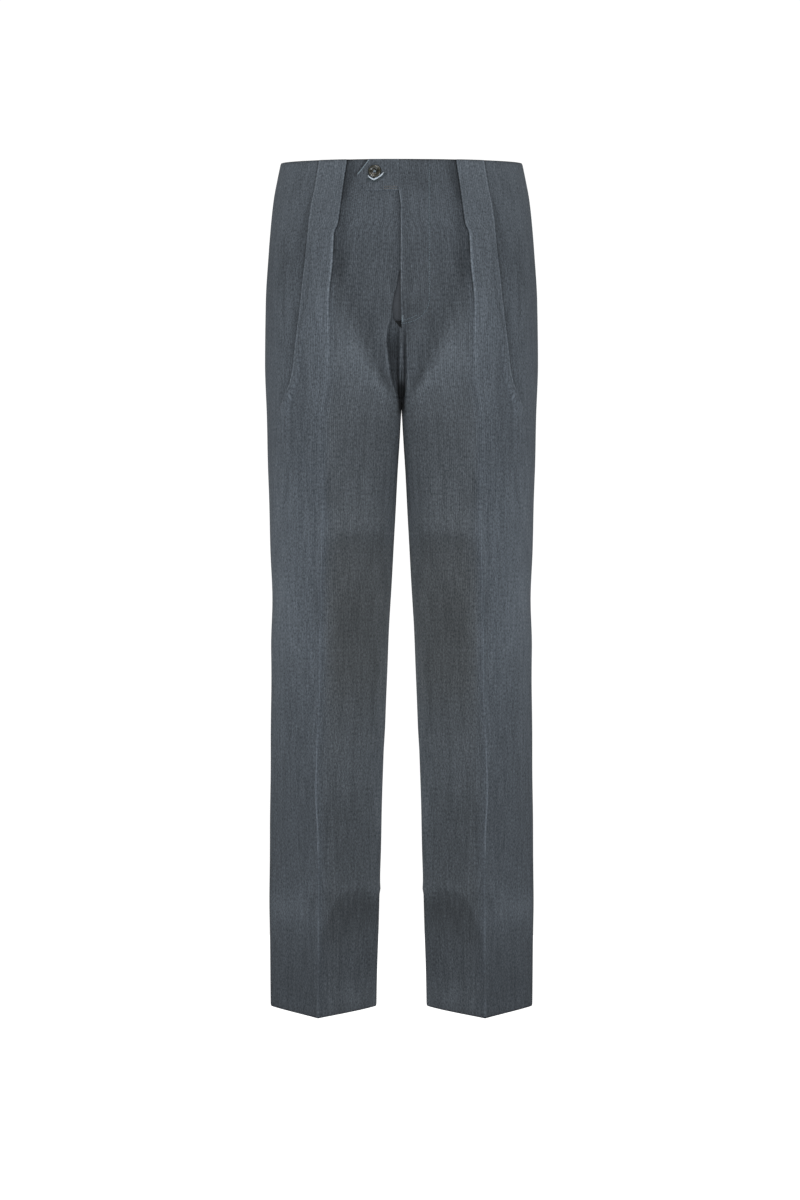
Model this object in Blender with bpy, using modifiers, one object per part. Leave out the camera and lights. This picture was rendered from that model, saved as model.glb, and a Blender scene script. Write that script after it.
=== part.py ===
"""Pleated dress trousers in needlecord, filled out as worn, with nobody in them.

Metres, +Z up. X runs across the body with the wearer's left at +X, and the front faces -Y.
The origin is the middle of the waist opening, level with its top edge at the side seams.

The garment is a form of plan sections, one for each height. A half section starts at the
inner front (centre front above the crotch, inseam below it), runs out to the front crease,
round the side seam to the back crease, and in to the inner back. The form is the outside of
the cloth. Each panel is a strip of that form, and a pleat is laid in it by a profile of
(distance along the section, height above the form). Solidify gives each panel its wall.
"""

import math

import bmesh
import bpy
import numpy as np
from mathutils import Matrix, Vector

MM = 0.001

# Cloth and seams, in millimetres.
WALL = 1.1  # needlecord
SEAM_GAP = 0.3  # between pieces that are sewn together or lie on each other
LAY = WALL + SEAM_GAP  # from a piece to the next one on it
PLY = WALL + 0.5  # from one layer of a folded piece to the next

# Lengths, in millimetres below the waist's top edge at the side seams.
CROTCH = 302.0
HEM = 1054.6
FLY_FOOT = 213.0
FRONT_DIP = 18.0  # the top edge is this much lower at centre front
BACK_RISE = 12.0  # and this much higher at centre back
WAIST_FRONT_Y = -105.0
WAIST_BACK_Y = 100.0
DIP_FADE = 100.0  # depth at which the dip and the rise have died out

# The form's lines, in millimetres. depth is measured down from the origin.
OUTLINE_COLUMNS = ("depth", "side_x")
OUTLINE = [
    (0, 151.0), (20, 155.2), (45, 159.8), (73, 163.0), (113, 166.3), (174, 170.0), (250, 170.9),
    (320, 168.4), (390, 166.9), (484, 163.6), (547, 161.2), (609, 163.4), (700, 163.6),
    (850, 164.8), (985, 165.4), (1055, 164.2),
]
INSEAM_COLUMNS = ("depth", "inseam_x")
INSEAM = [
    (302, 0.15), (316, 0.9), (324, 1.3), (346, 2.6), (390, 5.4), (453, 8.5), (547, 13.7),
    (641, 18.1), (703, 20.8), (740, 22.9), (797, 23.8), (892, 26.6), (985, 29.7), (1055, 31.6),
]
CREASE_COLUMNS = ("depth", "crease_x")
CREASE = [
    (0, 66.1), (46, 71.5), (95, 75.8), (112, 81.0), (143, 82.7), (180, 86.1), (212, 87.5),
    (273, 88.1), (334, 94.1), (408, 94.7), (500, 96.4), (547, 98.2), (624, 98.2), (660, 99.1),
    (740, 103.2), (783, 103.7), (840, 101.2), (948, 100.9), (1055, 101.5),
]
PLEAT_COLUMNS = ("depth", "fold_x")  # the outer fold of the box pleat
PLEAT = [
    (0, 98.2), (46, 104.6), (72, 108.6), (127, 114.0), (164, 118.7), (190, 121.4), (226, 126.2),
    (264, 130.2), (283, 133.4), (298, 139.0), (312, 145.8),
]
DEPTHS_COLUMNS = ("depth", "centre_y", "crease_y", "side_y", "back_crease_x", "back_crease_y", "seat_y")
DEPTHS = [
    (0, WAIST_FRONT_Y, -97, 0, 74, 89, WAIST_BACK_Y),
    (60, -112, -105, 2, 78, 102, 112),
    (120, -116, -110, 4, 82, 115, 125),
    (170, -115, -112, 5, 85, 124, 134),
    (215, -113, -113, 5, 87, 125, 135),
    (260, -112, -113, 4, 89, 122, 130),
    (302, -112, -112, 3, 90, 117, 120),
    (360, -112, -109, 2, 91, 109, 110),
    (430, -112, -102, 1, 93, 100, 100),
    (547, -112, -90, 0, 96, 88, 90),
    (700, -112, -84, 0, 98, 84, 84),
    (860, -112, -80, 0, 98, 80, 80),
    (1055, -112, -78, 0, 98, 77, 77),
]
# The section's shape. Headings are in degrees: 0 runs out along +X, 90 runs back along +Y.
# reach is how far a crease's heading carries on inwards, as a share of the way to the inner
# end, corner is the size in millimetres of the turn to the inner side, and round is how far
# the curve at the side seam reaches: 1 is an arc, and a small number nearly a corner.
SHAPE_COLUMNS = (
    "depth", "crease_in", "crease_out", "back_in", "back_out", "reach", "corner", "round",
)
SHAPE = [
    (0, 14, 22, 158, 164, 0.35, 20, 1),
    (120, 8, 16, 162, 166, 0.35, 20, 1),
    (205, 2, 14, 166, 170, 0.36, 14, 1),
    (240, -1, 14, 168, 174, 0.45, 14, 1),
    (270, -3, 15, 168, 178, 0.56, 17, 1),
    (302, -6, 16, 168, 182, 0.62, 24, 1),
    (360, -10, 18, 166, 186, 0.62, 34, 1),
    (430, -15, 21, 162, 191, 0.58, 42, 1),
    (547, -24, 28, 154, 203, 0.50, 50, 0.9),
    (700, -33, 36, 146, 212, 0.44, 60, 0.65),
    (860, -41, 43, 138, 220, 0.40, 64, 0.45),
    (1055, -46, 50, 130, 226, 0.36, 66, 0.32),
]
# Each crotch curve: where it leaves the belly or the seat, how soon the cloth beside it has
# turned in to face the other leg, and the most of the hollow's depth that its corner takes.
CORNER_SPAN = 1.7  # length of the turn to the inner side, over its corner
RISES = {"front": (215.0, 238.0, 0.45), "back": (205.0, 275.0, 0.50)}
CROTCH_Y = 10.0
# The leg is pressed along its crease: between these depths the turn beside the inseam gets
# tighter, by this share, and the cloth runs almost straight from the seam to the crease.
PRESSED_FROM, PRESSED_TO, PRESSED_SHARE = 400.0, 820.0, 0.67

# The box pleat's two folds by depth: the length laid back under the strip, how far the cloth
# turns at each of the fold's two bends, in degrees, and the length of a bend's segments.
FOLD_COLUMNS = ("depth", "laid", "turn", "step")
INNER_FOLD = [
    (0, 12.4, 180, 0.8), (95, 12.4, 180, 0.8), (150, 0.6, 180, 0.8), (165, 0.6, 170, 0.8),
    (195, 0.8, 75, 1.0), (220, 2.0, 20, 2.0), (240, 3.0, 0, 3.0), (1055, 3.0, 0, 3.0),
]
OUTER_FOLD = [
    (0, 12.4, 180, 0.8), (150, 12.4, 180, 0.8), (262, 0.6, 180, 0.8), (282, 0.6, 165, 0.8),
    (305, 1.0, 60, 1.2), (325, 3.0, 0, 3.0), (1055, 3.0, 0, 3.0),
]
FOLD_SEGMENTS = 3
FOLD_CLEAR = 6.0  # least distance from a fold's end to the next column
FOLD_END = 312.0  # depth where the pleat's outer fold has run out
COLUMNS_REST = 380.0  # and from where its columns keep their share of crease to side seam
COLUMNS_SHARE = 0.70

# The fly: how far each front reaches past the centre line, by depth.
LAP_COLUMNS = ("depth", "left", "right")
LAP = [
    (0, 3.0, 6.5), (33, 3.0, 6.5), (60, 1.0, 6.5), (135, 0.8, 6.0), (150, 0.8, 2.0),
    (172, 0.7, -8.5), (192, 0.5, -10.5), (203, 0.2, -6.5), (211, -0.15, -1.0), (218, -0.15, -0.15),
]
LAP_OVER = 9.0  # the left front lies over the right one up to this distance
LAP_DOWN = 26.0  # and has come down beside it by this one
LAP_CLOSING = (205.0, 219.0)  # depths between which the lap ends in the seam below the fly
SHIELD_REACH = 36.0  # of the fly shield past the centre line, to the wearer's left
SHIELD_BACK = 15.0  # and to the right
SHIELD_TOP = 3.0
SHIELD_FOOT = 212.0
SHIELD_ROUND = 22.0
SHIELD_COLUMNS = 9
PATCH_ROWS = 6  # of a piece that lies on the fronts

# The waist tab's outline: distances from the centre line, and depths on the form.
TAB_TIP_X = 53.9
TAB_SHOULDER_X = 39.7
TAB_ROOT_X = 3.3
TAB_DEPTH = 46.0
TAB_TIP_DEPTH = 21.5
TAB_TIP_BLUNT = 1.5  # half the height of the point's end
TAB_LOWER_ROUND = 0.8  # 1 is a quarter ellipse from the point to the lower edge
TAB_COLUMNS = 6  # in the point, and again in the straight part

# The button, turned from horn: radius and height as shares of its own.
BUTTON_X = -32.0
BUTTON_DEPTH = 16.6
BUTTON_RADIUS = 8.0
BUTTON_THICK = 2.9
BUTTON_PROFILE_COLUMNS = ("radius", "height")
BUTTON_PROFILE = [
    (0.0, 0.62), (0.50, 0.66), (0.68, 0.95), (0.82, 1.0), (0.95, 0.86), (1.0, 0.55),
    (0.94, 0.20), (0.72, 0.0), (0.0, 0.0),
]
BUTTON_SIDES = 32
HOLES = 4
HOLE_RADIUS = 0.95
HOLE_SPREAD = 2.5  # from the middle
HOLE_SIDES = 10

# How fine the panels are: rows by stretch, and columns between the folds.
TORSO_ROWS = 13  # even, down to the rise
RISE_ROWS = 8  # evenly spaced along the crotch curve
LEG_ROWS = 12  # closest at the crotch
LEG_ROW_GROWTH = 1.6
CENTRE_STEPS = 5
SIDE_STEPS = 3
BACK_STEPS = 12
SEAM_LIP = 4.0  # width of the first column beside a seam, where the seam lies in a full arc
SAMPLES = 40  # of the section's arcs, before a panel takes its own points from them
NORMAL_REACH = 1.0  # millimetres either way over which the section's direction is taken

CORD_COLOUR = (0.080, 0.092, 0.104)
SHIELD_COLOUR = (0.050, 0.056, 0.058)
HORN_COLOUR = (0.060, 0.052, 0.038)


def column(rows, names, name):
    """One named column of a table."""
    return np.array([row[names.index(name)] for row in rows], float)


def smooth(rows, names, name, depth):
    """A column read at any depth, on a curve that keeps between its own values."""
    x, y = column(rows, names, "depth"), column(rows, names, name)
    step, rise = np.diff(x), np.diff(y)
    slope = rise / step
    tangent = np.zeros(len(x))
    tangent[0], tangent[-1] = slope[0], slope[-1]
    same = slope[:-1] * slope[1:] > 0
    mean = 2 * slope[:-1] * slope[1:] / np.where(same, slope[:-1] + slope[1:], 1)
    tangent[1:-1] = np.where(same, mean, 0)
    at = np.clip(depth, x[0], x[-1])
    k = np.clip(np.searchsorted(x, at, side="right") - 1, 0, len(x) - 2)
    u = (at - x[k]) / step[k]
    lift = (2 * u**3 - 3 * u**2 + 1) * y[k] + (3 * u**2 - 2 * u**3) * y[k + 1]
    return lift + step[k] * ((u**3 - 2 * u**2 + u) * tangent[k] + (u**3 - u**2) * tangent[k + 1])


def ease(value, low, high):
    """0 at low, 1 at high, level at both ends."""
    u = min(max((value - low) / (high - low), 0), 1)
    return u * u * (3 - 2 * u)


def rise(depth, top, reach):
    """A crotch curve's y: a quarter ellipse from its top, at y = reach, down to the crotch."""
    u = min(max((depth - top) / (CROTCH - top), 0), 1)
    return CROTCH_Y + (reach - CROTCH_Y) * math.sqrt(1 - u * u)


def along(heading, length):
    """The step of a length along a heading in degrees."""
    return length * np.array([math.cos(math.radians(heading)), math.sin(math.radians(heading))])


def arc(start, heading, end, end_heading, start_round=1.0, end_round=1.0):
    """A cubic arc between two points with the headings given, as a circle where it can be.

    A smaller round takes up the turn at that end within a shorter stretch."""
    start, end = np.array(start, float), np.array(end, float)
    turn = math.radians(end_heading - heading)
    handle = np.linalg.norm(end - start) / (3 * math.cos(turn / 4) ** 2)
    first = start + along(heading, handle * start_round)
    second = end - along(end_heading, handle * end_round)
    return cubic(start, first, second, end)


def cubic(start, first, second, end):
    """Points on a cubic curve between two ends, by its two handles' tips."""
    u = np.linspace(0, 1, SAMPLES)[:, None]
    ends = (1 - u) ** 3 * start + u**3 * end
    return ends + 3 * u * (1 - u) ** 2 * first + 3 * u * u * (1 - u) * second


def inner_arc(half, depth, inner, crease, crease_heading, reach, corner):
    """The section from its inner end to a crease, turning in beside the crotch curve.

    Above the curve the inner end lies across the centre line. Below it the cloth runs
    straight from the seam as far as the corner, and then turns. The back is worked out as a
    front and turned round. Returns its points, the first stretch being the straight one."""
    top, turned, share = RISES[half]
    mirror = np.array([1, 1 if half == "front" else -1])
    inner, crease = np.array(inner) * mirror, np.array(crease) * mirror
    heading = crease_heading if half == "front" else 180 - crease_heading
    inward = ease(depth, top, turned)
    width, hollow = crease[0] - inner[0], max(inner[1] - crease[1], 0)
    straight = max(hollow - CORNER_SPAN * corner, 0) * inward
    begin = inner + along(-90, straight)
    pressed = PRESSED_SHARE * ease(depth, PRESSED_FROM, PRESSED_TO)
    rest = (hollow - straight - min(corner, share * hollow)) * (1 - pressed)
    first = begin + np.array([width / 3 * (1 - inward), -rest * inward])
    turn = cubic(begin, first, crease - along(heading, width * reach), crease)
    points = np.vstack([inner, turn]) * mirror
    return points if half == "front" else points[::-1]


class Section:
    """The form's half plan at one depth, for the wearer's left: its points by distance."""

    def __init__(self, depth):
        at = {name: float(smooth(DEPTHS, DEPTHS_COLUMNS, name, depth)) for name in DEPTHS_COLUMNS[1:]}
        turn = {name: float(smooth(SHAPE, SHAPE_COLUMNS, name, depth)) for name in SHAPE_COLUMNS[1:]}
        crease_x = float(smooth(CREASE, CREASE_COLUMNS, "crease_x", depth))
        side_x = float(smooth(OUTLINE, OUTLINE_COLUMNS, "side_x", depth))
        if depth < CROTCH:
            inner_x = SEAM_GAP / 2 * ease(depth, FLY_FOOT - 10, FLY_FOOT)
            front_y = rise(depth, RISES["front"][0], at["centre_y"])
            back_y = rise(depth, RISES["back"][0], at["seat_y"])
        else:
            inner_x = float(smooth(INSEAM, INSEAM_COLUMNS, "inseam_x", depth))
            front_y = back_y = CROTCH_Y * (1 - ease(depth, CROTCH, 560))
        crease, side = (crease_x, at["crease_y"]), (side_x, at["side_y"])
        back_crease = (at["back_crease_x"], at["back_crease_y"])
        seam, corner = turn["round"], (turn["reach"], turn["corner"])
        arcs = [
            inner_arc("front", depth, (inner_x, front_y), crease, turn["crease_in"], *corner),
            arc(crease, turn["crease_out"], side, 90, 1, seam),
            arc(side, 90, back_crease, turn["back_in"], seam, 1),
            inner_arc("back", depth, (inner_x, back_y), back_crease, turn["back_out"], *corner),
        ]
        self.depth = depth
        self.lip = SEAM_LIP * seam
        self.points = np.vstack([arcs[0]] + [points[1:] for points in arcs[1:]])
        steps = np.linalg.norm(np.diff(self.points, axis=0), axis=1)
        self.length = np.concatenate([[0], np.cumsum(steps)])
        self.corner, self.back_corner = self.length[1], self.length[-2]
        self.crease = self.length[SAMPLES]
        self.side = self.length[2 * SAMPLES - 1]
        self.end = self.length[-1]
        fold_x = float(smooth(PLEAT, PLEAT_COLUMNS, "fold_x", depth))
        outer = slice(SAMPLES, 2 * SAMPLES)
        by_x = np.interp(fold_x, self.points[outer, 0], self.length[outer])
        rest = self.crease + COLUMNS_SHARE * (self.side - self.crease)
        fade = ease(depth, FOLD_END, COLUMNS_REST)
        self.fold = by_x * (1 - fade) + rest * fade

    def place(self, s):
        """Plan point at distance s. Before 0 it is the other half's, across the centre line."""
        s = np.asarray(s, float)
        x = np.interp(np.abs(s), self.length, self.points[:, 0])
        y = np.interp(np.abs(s), self.length, self.points[:, 1])
        return np.stack([np.where(s < 0, -x, x), y], axis=-1)

    def raised(self, s, n):
        """Points at distance s along the section and n outside it, as x, y, z in mm."""
        s, n = np.broadcast_arrays(np.asarray(s, float), np.asarray(n, float))
        first = 0 if self.depth > FLY_FOOT else -self.end
        s0 = np.maximum(s - NORMAL_REACH, first)
        s1 = np.minimum(s + NORMAL_REACH, self.end)
        run = self.place(s1) - self.place(s0)
        run /= np.linalg.norm(run, axis=-1, keepdims=True)
        plan = self.place(s) + n[..., None] * np.stack([run[..., 1], -run[..., 0]], axis=-1)
        y = plan[..., 1]
        lift = np.where(y < 0, -FRONT_DIP * y / WAIST_FRONT_Y, BACK_RISE * y / WAIST_BACK_Y)
        lift = lift * (1 - ease(self.depth, 0, DIP_FADE))
        return np.stack([plan[..., 0], y, lift - self.depth], axis=-1)


def fold(columns, depth):
    """(s, n) across one fold, from the cloth under it to the cloth on top, from its edge.

    The cloth turns up and back by the fold's turn, lies back, and turns forward again. With a
    turn of 180 it is pressed flat in three layers, and with a turn of 0 it is one layer."""
    laid, turn, step = (float(smooth(columns, FOLD_COLUMNS, name, depth)) for name in FOLD_COLUMNS[1:])
    bend = turn * (np.arange(FOLD_SEGMENTS) + 0.5) / FOLD_SEGMENTS
    heading = np.radians(np.concatenate([bend, [turn], bend[::-1]]))
    length = np.array([step] * FOLD_SEGMENTS + [laid] + [step] * FOLD_SEGMENTS)
    s = np.concatenate([[0], np.cumsum(length * np.cos(heading))])
    n = np.concatenate([[0], np.cumsum(length * np.sin(heading))])
    s = s - s[FOLD_SEGMENTS + 1:].min()
    # A column in the cloth below and one in the strip above, over the fold's own ends.
    below, above = s[0] - max(laid, FOLD_CLEAR), s[-1] + max(laid, FOLD_CLEAR)
    return np.concatenate([[below], s, [above]]), np.concatenate([[0], n, [n[-1]]])


def front_profile(section, start):
    """The front's (s, n) at one section, from its centre edge to the side seam, mid cloth.

    The strip of the box pleat lies two layers up, between the crease and the pleat's fold."""
    inner_s, inner_n = fold(INNER_FOLD, section.depth)
    outer_s, outer_n = fold(OUTER_FOLD, section.depth)
    inner_s = section.crease + inner_s
    outer_s, outer_n = section.fold - outer_s[::-1], outer_n[::-1]
    end = section.side - SEAM_GAP / 2
    centre_s = np.linspace(section.corner, inner_s[0], CENTRE_STEPS + 1)[:-1]
    centre_s[0] = start + section.lip + max(section.corner - section.lip, 0)
    centre_s = np.concatenate([[start + section.lip / 2], centre_s])
    side_s = np.linspace(outer_s[-1], end - section.lip, SIDE_STEPS + 1)[1:]
    s = np.concatenate([[start], centre_s, inner_s, outer_s, side_s, [end]])
    n = np.concatenate([[0], 0 * centre_s, inner_n, outer_n, 0 * side_s, [0]])
    return s, n - WALL / 2


def rows():
    """The depths of the panels' rows, from the top edge to the hem."""
    top = RISES["front"][0]
    torso = np.linspace(0, top, TORSO_ROWS + 1)[:-1]
    curve = top + (CROTCH - top) * np.sin(np.linspace(0, math.pi / 2, RISE_ROWS + 1))
    leg = CROTCH + (HEM - CROTCH) * np.linspace(0, 1, LEG_ROWS + 1)[1:] ** LEG_ROW_GROWTH
    return np.concatenate([torso, curve, leg])


def panel(name, grid, mirrored, material):
    """A wall of cloth on a grid of points, rows going down and columns going round."""
    grid = np.array(grid)
    if mirrored:
        grid = grid * np.array([-1, 1, 1])
    tall, wide = grid.shape[:2]
    index = np.arange(tall * wide).reshape(tall, wide)
    corners = [index[:-1, :-1], index[1:, :-1], index[1:, 1:], index[:-1, 1:]]
    if mirrored:
        corners.reverse()
    faces = np.stack([c.ravel() for c in corners], axis=1)
    mesh = bpy.data.meshes.new(name)
    mesh.from_pydata((grid.reshape(-1, 3) * MM).tolist(), [], faces.tolist())
    mesh.update()
    obj = bpy.data.objects.new(name, mesh)
    garment.objects.link(obj)
    mesh.materials.append(material)
    mesh.shade_smooth()
    cloth = obj.modifiers.new("cloth wall", "SOLIDIFY")
    cloth.thickness = WALL * MM
    cloth.offset = 0
    cloth.use_even_offset = True
    return obj


def front(name, mirrored, material):
    """A front with its box pleat. The left one rises over the right one along the fly."""
    side = "right" if mirrored else "left"
    grid = []
    for section in sections:
        lap = float(smooth(LAP, LAP_COLUMNS, side, section.depth))
        s, n = front_profile(section, -lap)
        if not mirrored:
            over = 1 - ease(section.depth, *LAP_CLOSING)
            n = n + LAY * over * np.array([1 - ease(value, LAP_OVER, LAP_DOWN) for value in s])
        grid.append(section.raised(s, n))
    return panel(name, grid, mirrored, material)


def back(name, mirrored, material):
    """A back, plain, from the side seam to the centre back or the inseam."""
    grid = []
    for section in sections:
        side, end = section.side + SEAM_GAP / 2, section.end - SEAM_GAP / 2
        inside = np.linspace(side + section.lip, section.back_corner, BACK_STEPS)
        inside[-1] = min(inside[-1], end - section.lip)
        s = np.concatenate([[side], inside, [end - section.lip / 2, end]])
        grid.append(section.raised(s, -WALL / 2))
    return panel(name, grid, mirrored, material)


def patch(name, outline, level, material):
    """Cloth that lies on the fronts' form at a level, mid cloth, across the centre line.

    outline gives, for each column, its distance s and its top and bottom depths."""
    grid = []
    for share in np.linspace(0, 1, PATCH_ROWS):
        depths = [(s, top + (bottom - top) * share) for s, top, bottom in outline]
        grid.append([Section(depth).raised(s, level) for s, depth in depths])
    return panel(name, grid, False, material)


def material(name, colour, roughness):
    made = bpy.data.materials.new(name)
    made.use_nodes = True
    shader = made.node_tree.nodes["Principled BSDF"]
    shader.inputs["Base Color"].default_value = (*colour, 1)
    shader.inputs["Roughness"].default_value = roughness
    return made


def tab_outline():
    """Columns of the tab, from its point to its root at the left front's edge."""
    point = np.linspace(TAB_TIP_X, TAB_SHOULDER_X, TAB_COLUMNS)
    straight = np.linspace(TAB_SHOULDER_X, TAB_ROOT_X, TAB_COLUMNS)[1:]
    outline = []
    for s in np.concatenate([point, straight]):
        back = min((TAB_TIP_X - s) / (TAB_TIP_X - TAB_SHOULDER_X), 1)
        top = (TAB_TIP_DEPTH - TAB_TIP_BLUNT) * (1 - back)
        tip_low = TAB_TIP_DEPTH + TAB_TIP_BLUNT
        low = tip_low + (TAB_DEPTH - tip_low) * math.sin(back * math.pi / 2) ** TAB_LOWER_ROUND
        outline.append((-s, top, low))
    return outline


def shield_outline():
    """Columns of the fly shield, with its lower corner rounded."""
    outline = []
    for s in np.linspace(-SHIELD_BACK, SHIELD_REACH, SHIELD_COLUMNS):
        past = min(max(1 - (SHIELD_REACH - s) / SHIELD_ROUND, 0), 1)
        low = SHIELD_FOOT - SHIELD_ROUND * (1 - math.sqrt(1 - past * past))
        outline.append((s, SHIELD_TOP, low))
    return outline


def seat_frame(s, depth, level):
    """A frame on the form, its third axis standing out from the cloth."""
    reach = BUTTON_RADIUS / 2
    above, seat, below = (Section(depth + way * reach) for way in (-1, 0, 1))
    up = Vector(above.raised(s, level) - below.raised(s, level)).normalized()
    across = Vector(seat.raised(s + reach, level) - seat.raised(s - reach, level))
    out = across.cross(up).normalized()
    turn = Matrix((up.cross(out), up, out)).transposed().to_4x4()
    return Matrix.Translation(Vector(seat.raised(s, level) * MM)) @ turn


def button(name, material):
    """A turned button with its holes, lying on the tab."""
    turned = bmesh.new()
    size = (BUTTON_RADIUS * MM, BUTTON_THICK * MM)
    spine = [turned.verts.new((r * size[0], 0, h * size[1])) for r, h in BUTTON_PROFILE]
    edges = [turned.edges.new(pair) for pair in zip(spine, spine[1:])]
    bmesh.ops.spin(
        turned, geom=spine + edges, cent=(0, 0, 0), axis=(0, 0, 1), angle=2 * math.pi,
        steps=BUTTON_SIDES, use_merge=True, use_duplicate=False,
    )
    bmesh.ops.remove_doubles(turned, verts=turned.verts, dist=1e-6)
    bmesh.ops.recalc_face_normals(turned, faces=turned.faces)
    mesh = bpy.data.meshes.new(name)
    turned.to_mesh(mesh)
    turned.free()
    mesh.materials.append(material)
    disc = bpy.data.objects.new(name, mesh)
    garment.objects.link(disc)
    disc.matrix_world = seat_frame(BUTTON_X, BUTTON_DEPTH, LAY + SEAM_GAP)
    for index in range(HOLES):
        drill = bmesh.new()
        bmesh.ops.create_cone(
            drill, cap_ends=True, segments=HOLE_SIDES, radius1=HOLE_RADIUS * MM,
            radius2=HOLE_RADIUS * MM, depth=4 * BUTTON_THICK * MM,
        )
        hole = bpy.data.meshes.new(f"{name} hole {index}")
        drill.to_mesh(hole)
        drill.free()
        cutter = bpy.data.objects.new(hole.name, hole)
        cutters.objects.link(cutter)
        turn = math.tau * (index + 0.5) / HOLES
        spot = Vector((math.cos(turn), math.sin(turn), 0)) * HOLE_SPREAD * MM
        cutter.parent = disc
        cutter.location = spot
        cutter.hide_render = True
        cutter.display_type = "WIRE"
        cut = disc.modifiers.new(f"hole {index}", "BOOLEAN")
        cut.operation = "DIFFERENCE"
        cut.object = cutter


for old in list(bpy.data.objects):
    bpy.data.objects.remove(old)
garment = bpy.data.collections.new("pleated trousers")
cutters = bpy.data.collections.new("cutters")
bpy.context.scene.collection.children.link(garment)
bpy.context.scene.collection.children.link(cutters)

cord = material("slate needlecord", CORD_COLOUR, 0.85)
shade = material("fly shield cloth", SHIELD_COLOUR, 0.85)
horn = material("dark horn", HORN_COLOUR, 0.3)

sections = [Section(depth) for depth in rows()]
front("front_left", False, cord)
front("front_right", True, cord)
back("back_left", False, cord)
back("back_right", True, cord)
patch("fly_shield", shield_outline(), -PLY - WALL / 2, shade)
patch("waist_tab", tab_outline(), LAY - WALL / 2, cord)
button("button", horn)
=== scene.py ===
"""Pleated dress trousers in slate needlecord, filled out as worn, with nobody in them.

The garment is a form of half plans, one for each depth below the waist: the outside of the
cloth. A panel is a strip of that form, and a point of it is given by its distance s along the
plan, from the centre front or the inseam round to the centre back, and its height n above it.
Lengths are in millimetres until a mesh is made. +X is the wearer's left, and -Y the front.
"""

import math

import bpy
import numpy as np
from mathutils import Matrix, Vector


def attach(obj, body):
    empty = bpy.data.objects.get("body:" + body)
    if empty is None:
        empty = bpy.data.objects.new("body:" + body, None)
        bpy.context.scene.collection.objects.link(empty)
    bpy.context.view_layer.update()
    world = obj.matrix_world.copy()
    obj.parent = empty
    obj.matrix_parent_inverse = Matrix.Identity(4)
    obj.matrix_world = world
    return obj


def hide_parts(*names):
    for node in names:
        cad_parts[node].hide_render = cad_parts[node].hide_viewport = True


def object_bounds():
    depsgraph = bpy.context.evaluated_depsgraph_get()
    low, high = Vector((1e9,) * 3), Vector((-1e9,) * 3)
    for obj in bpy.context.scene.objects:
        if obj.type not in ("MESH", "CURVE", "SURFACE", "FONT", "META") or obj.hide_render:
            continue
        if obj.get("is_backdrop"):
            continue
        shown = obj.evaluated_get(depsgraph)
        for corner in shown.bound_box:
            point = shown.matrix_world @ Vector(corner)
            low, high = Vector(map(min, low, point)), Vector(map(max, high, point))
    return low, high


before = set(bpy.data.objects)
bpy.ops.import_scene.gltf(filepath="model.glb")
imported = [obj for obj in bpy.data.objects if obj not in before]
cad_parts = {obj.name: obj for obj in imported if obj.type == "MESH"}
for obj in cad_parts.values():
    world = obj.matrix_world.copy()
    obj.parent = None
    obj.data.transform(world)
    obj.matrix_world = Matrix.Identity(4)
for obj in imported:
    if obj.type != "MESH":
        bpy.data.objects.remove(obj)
cad_box = [list(corner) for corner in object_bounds()]
MM = 0.001

# ------------------------------------------------------------------------------------------
# The studio: a pale floor below, white all round, a little even light, and broad soft lamps:
# one on each side in front, one above and one behind. The camera is level with the knees and
# looks straight ahead.
# ------------------------------------------------------------------------------------------
CAMERA_AT = (-0.0019, -2.4, -0.5467)
FRAME_HEIGHT = 1.5048  # metres of the trousers' own plane in the picture
AMBIENT, BACKGROUND = 0.176, 1.05
FLOOR_Z, FLOOR_RADIUS = -1.75, 4.5


def linear(shade):
    """A colour given as #rrggbb, as the linear numbers that shaders take."""
    part = np.array([int(shade[i : i + 2], 16) for i in (1, 3, 5)]) / 255
    return tuple(np.where(part <= 0.04045, part / 12.92, ((part + 0.055) / 1.055) ** 2.4)) + (1,)


def node(tree, kind, inputs=(), **settings):
    """Adds one shader node with its settings. inputs maps sockets to values or to outputs."""
    made = tree.nodes.new("ShaderNode" + kind)
    for name, value in settings.items():
        setattr(made, name, value)
    for name, value in dict(inputs).items():
        if isinstance(value, bpy.types.NodeSocket):
            tree.links.new(value, made.inputs[name])
        else:
            made.inputs[name].default_value = value
    return made


def new_material(name):
    """An empty material, with its tree and output."""
    made = bpy.data.materials.new(name)
    made.use_nodes = True
    made.node_tree.nodes.clear()
    return made, made.node_tree, node(made.node_tree, "OutputMaterial")


def grid_faces(tall, wide, flipped=False):
    """Quads of a grid of points, in rows from the top, facing out where columns run left to right."""
    index = np.arange(tall * wide).reshape(tall, wide)
    corners = [index[:-1, :-1], index[1:, :-1], index[1:, 1:], index[:-1, 1:]]
    corners = corners[::-1] if flipped else corners
    return np.stack([corner.ravel() for corner in corners], axis=1).tolist()


def mesh_object(name, points, faces, material):
    """A smooth mesh object of points in metres, at the origin."""
    mesh = bpy.data.meshes.new(name)
    mesh.from_pydata(np.asarray(points).reshape(-1, 3).tolist(), [], list(faces))
    mesh.update()
    mesh.shade_smooth()
    mesh.materials.append(material)
    made = bpy.data.objects.new(name, mesh)
    bpy.context.scene.collection.objects.link(made)
    return made


scene = bpy.context.scene
scene.view_settings.view_transform = "Standard"
lens = bpy.data.cameras.new("camera")
lens.sensor_fit = "VERTICAL"
lens.sensor_height = 36.0
lens.lens = lens.sensor_height * -CAMERA_AT[1] / FRAME_HEIGHT
camera = bpy.data.objects.new("camera", lens)
camera.location = CAMERA_AT
camera.rotation_euler = (math.pi / 2, 0, 0)
scene.collection.objects.link(camera)
scene.camera = camera

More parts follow.
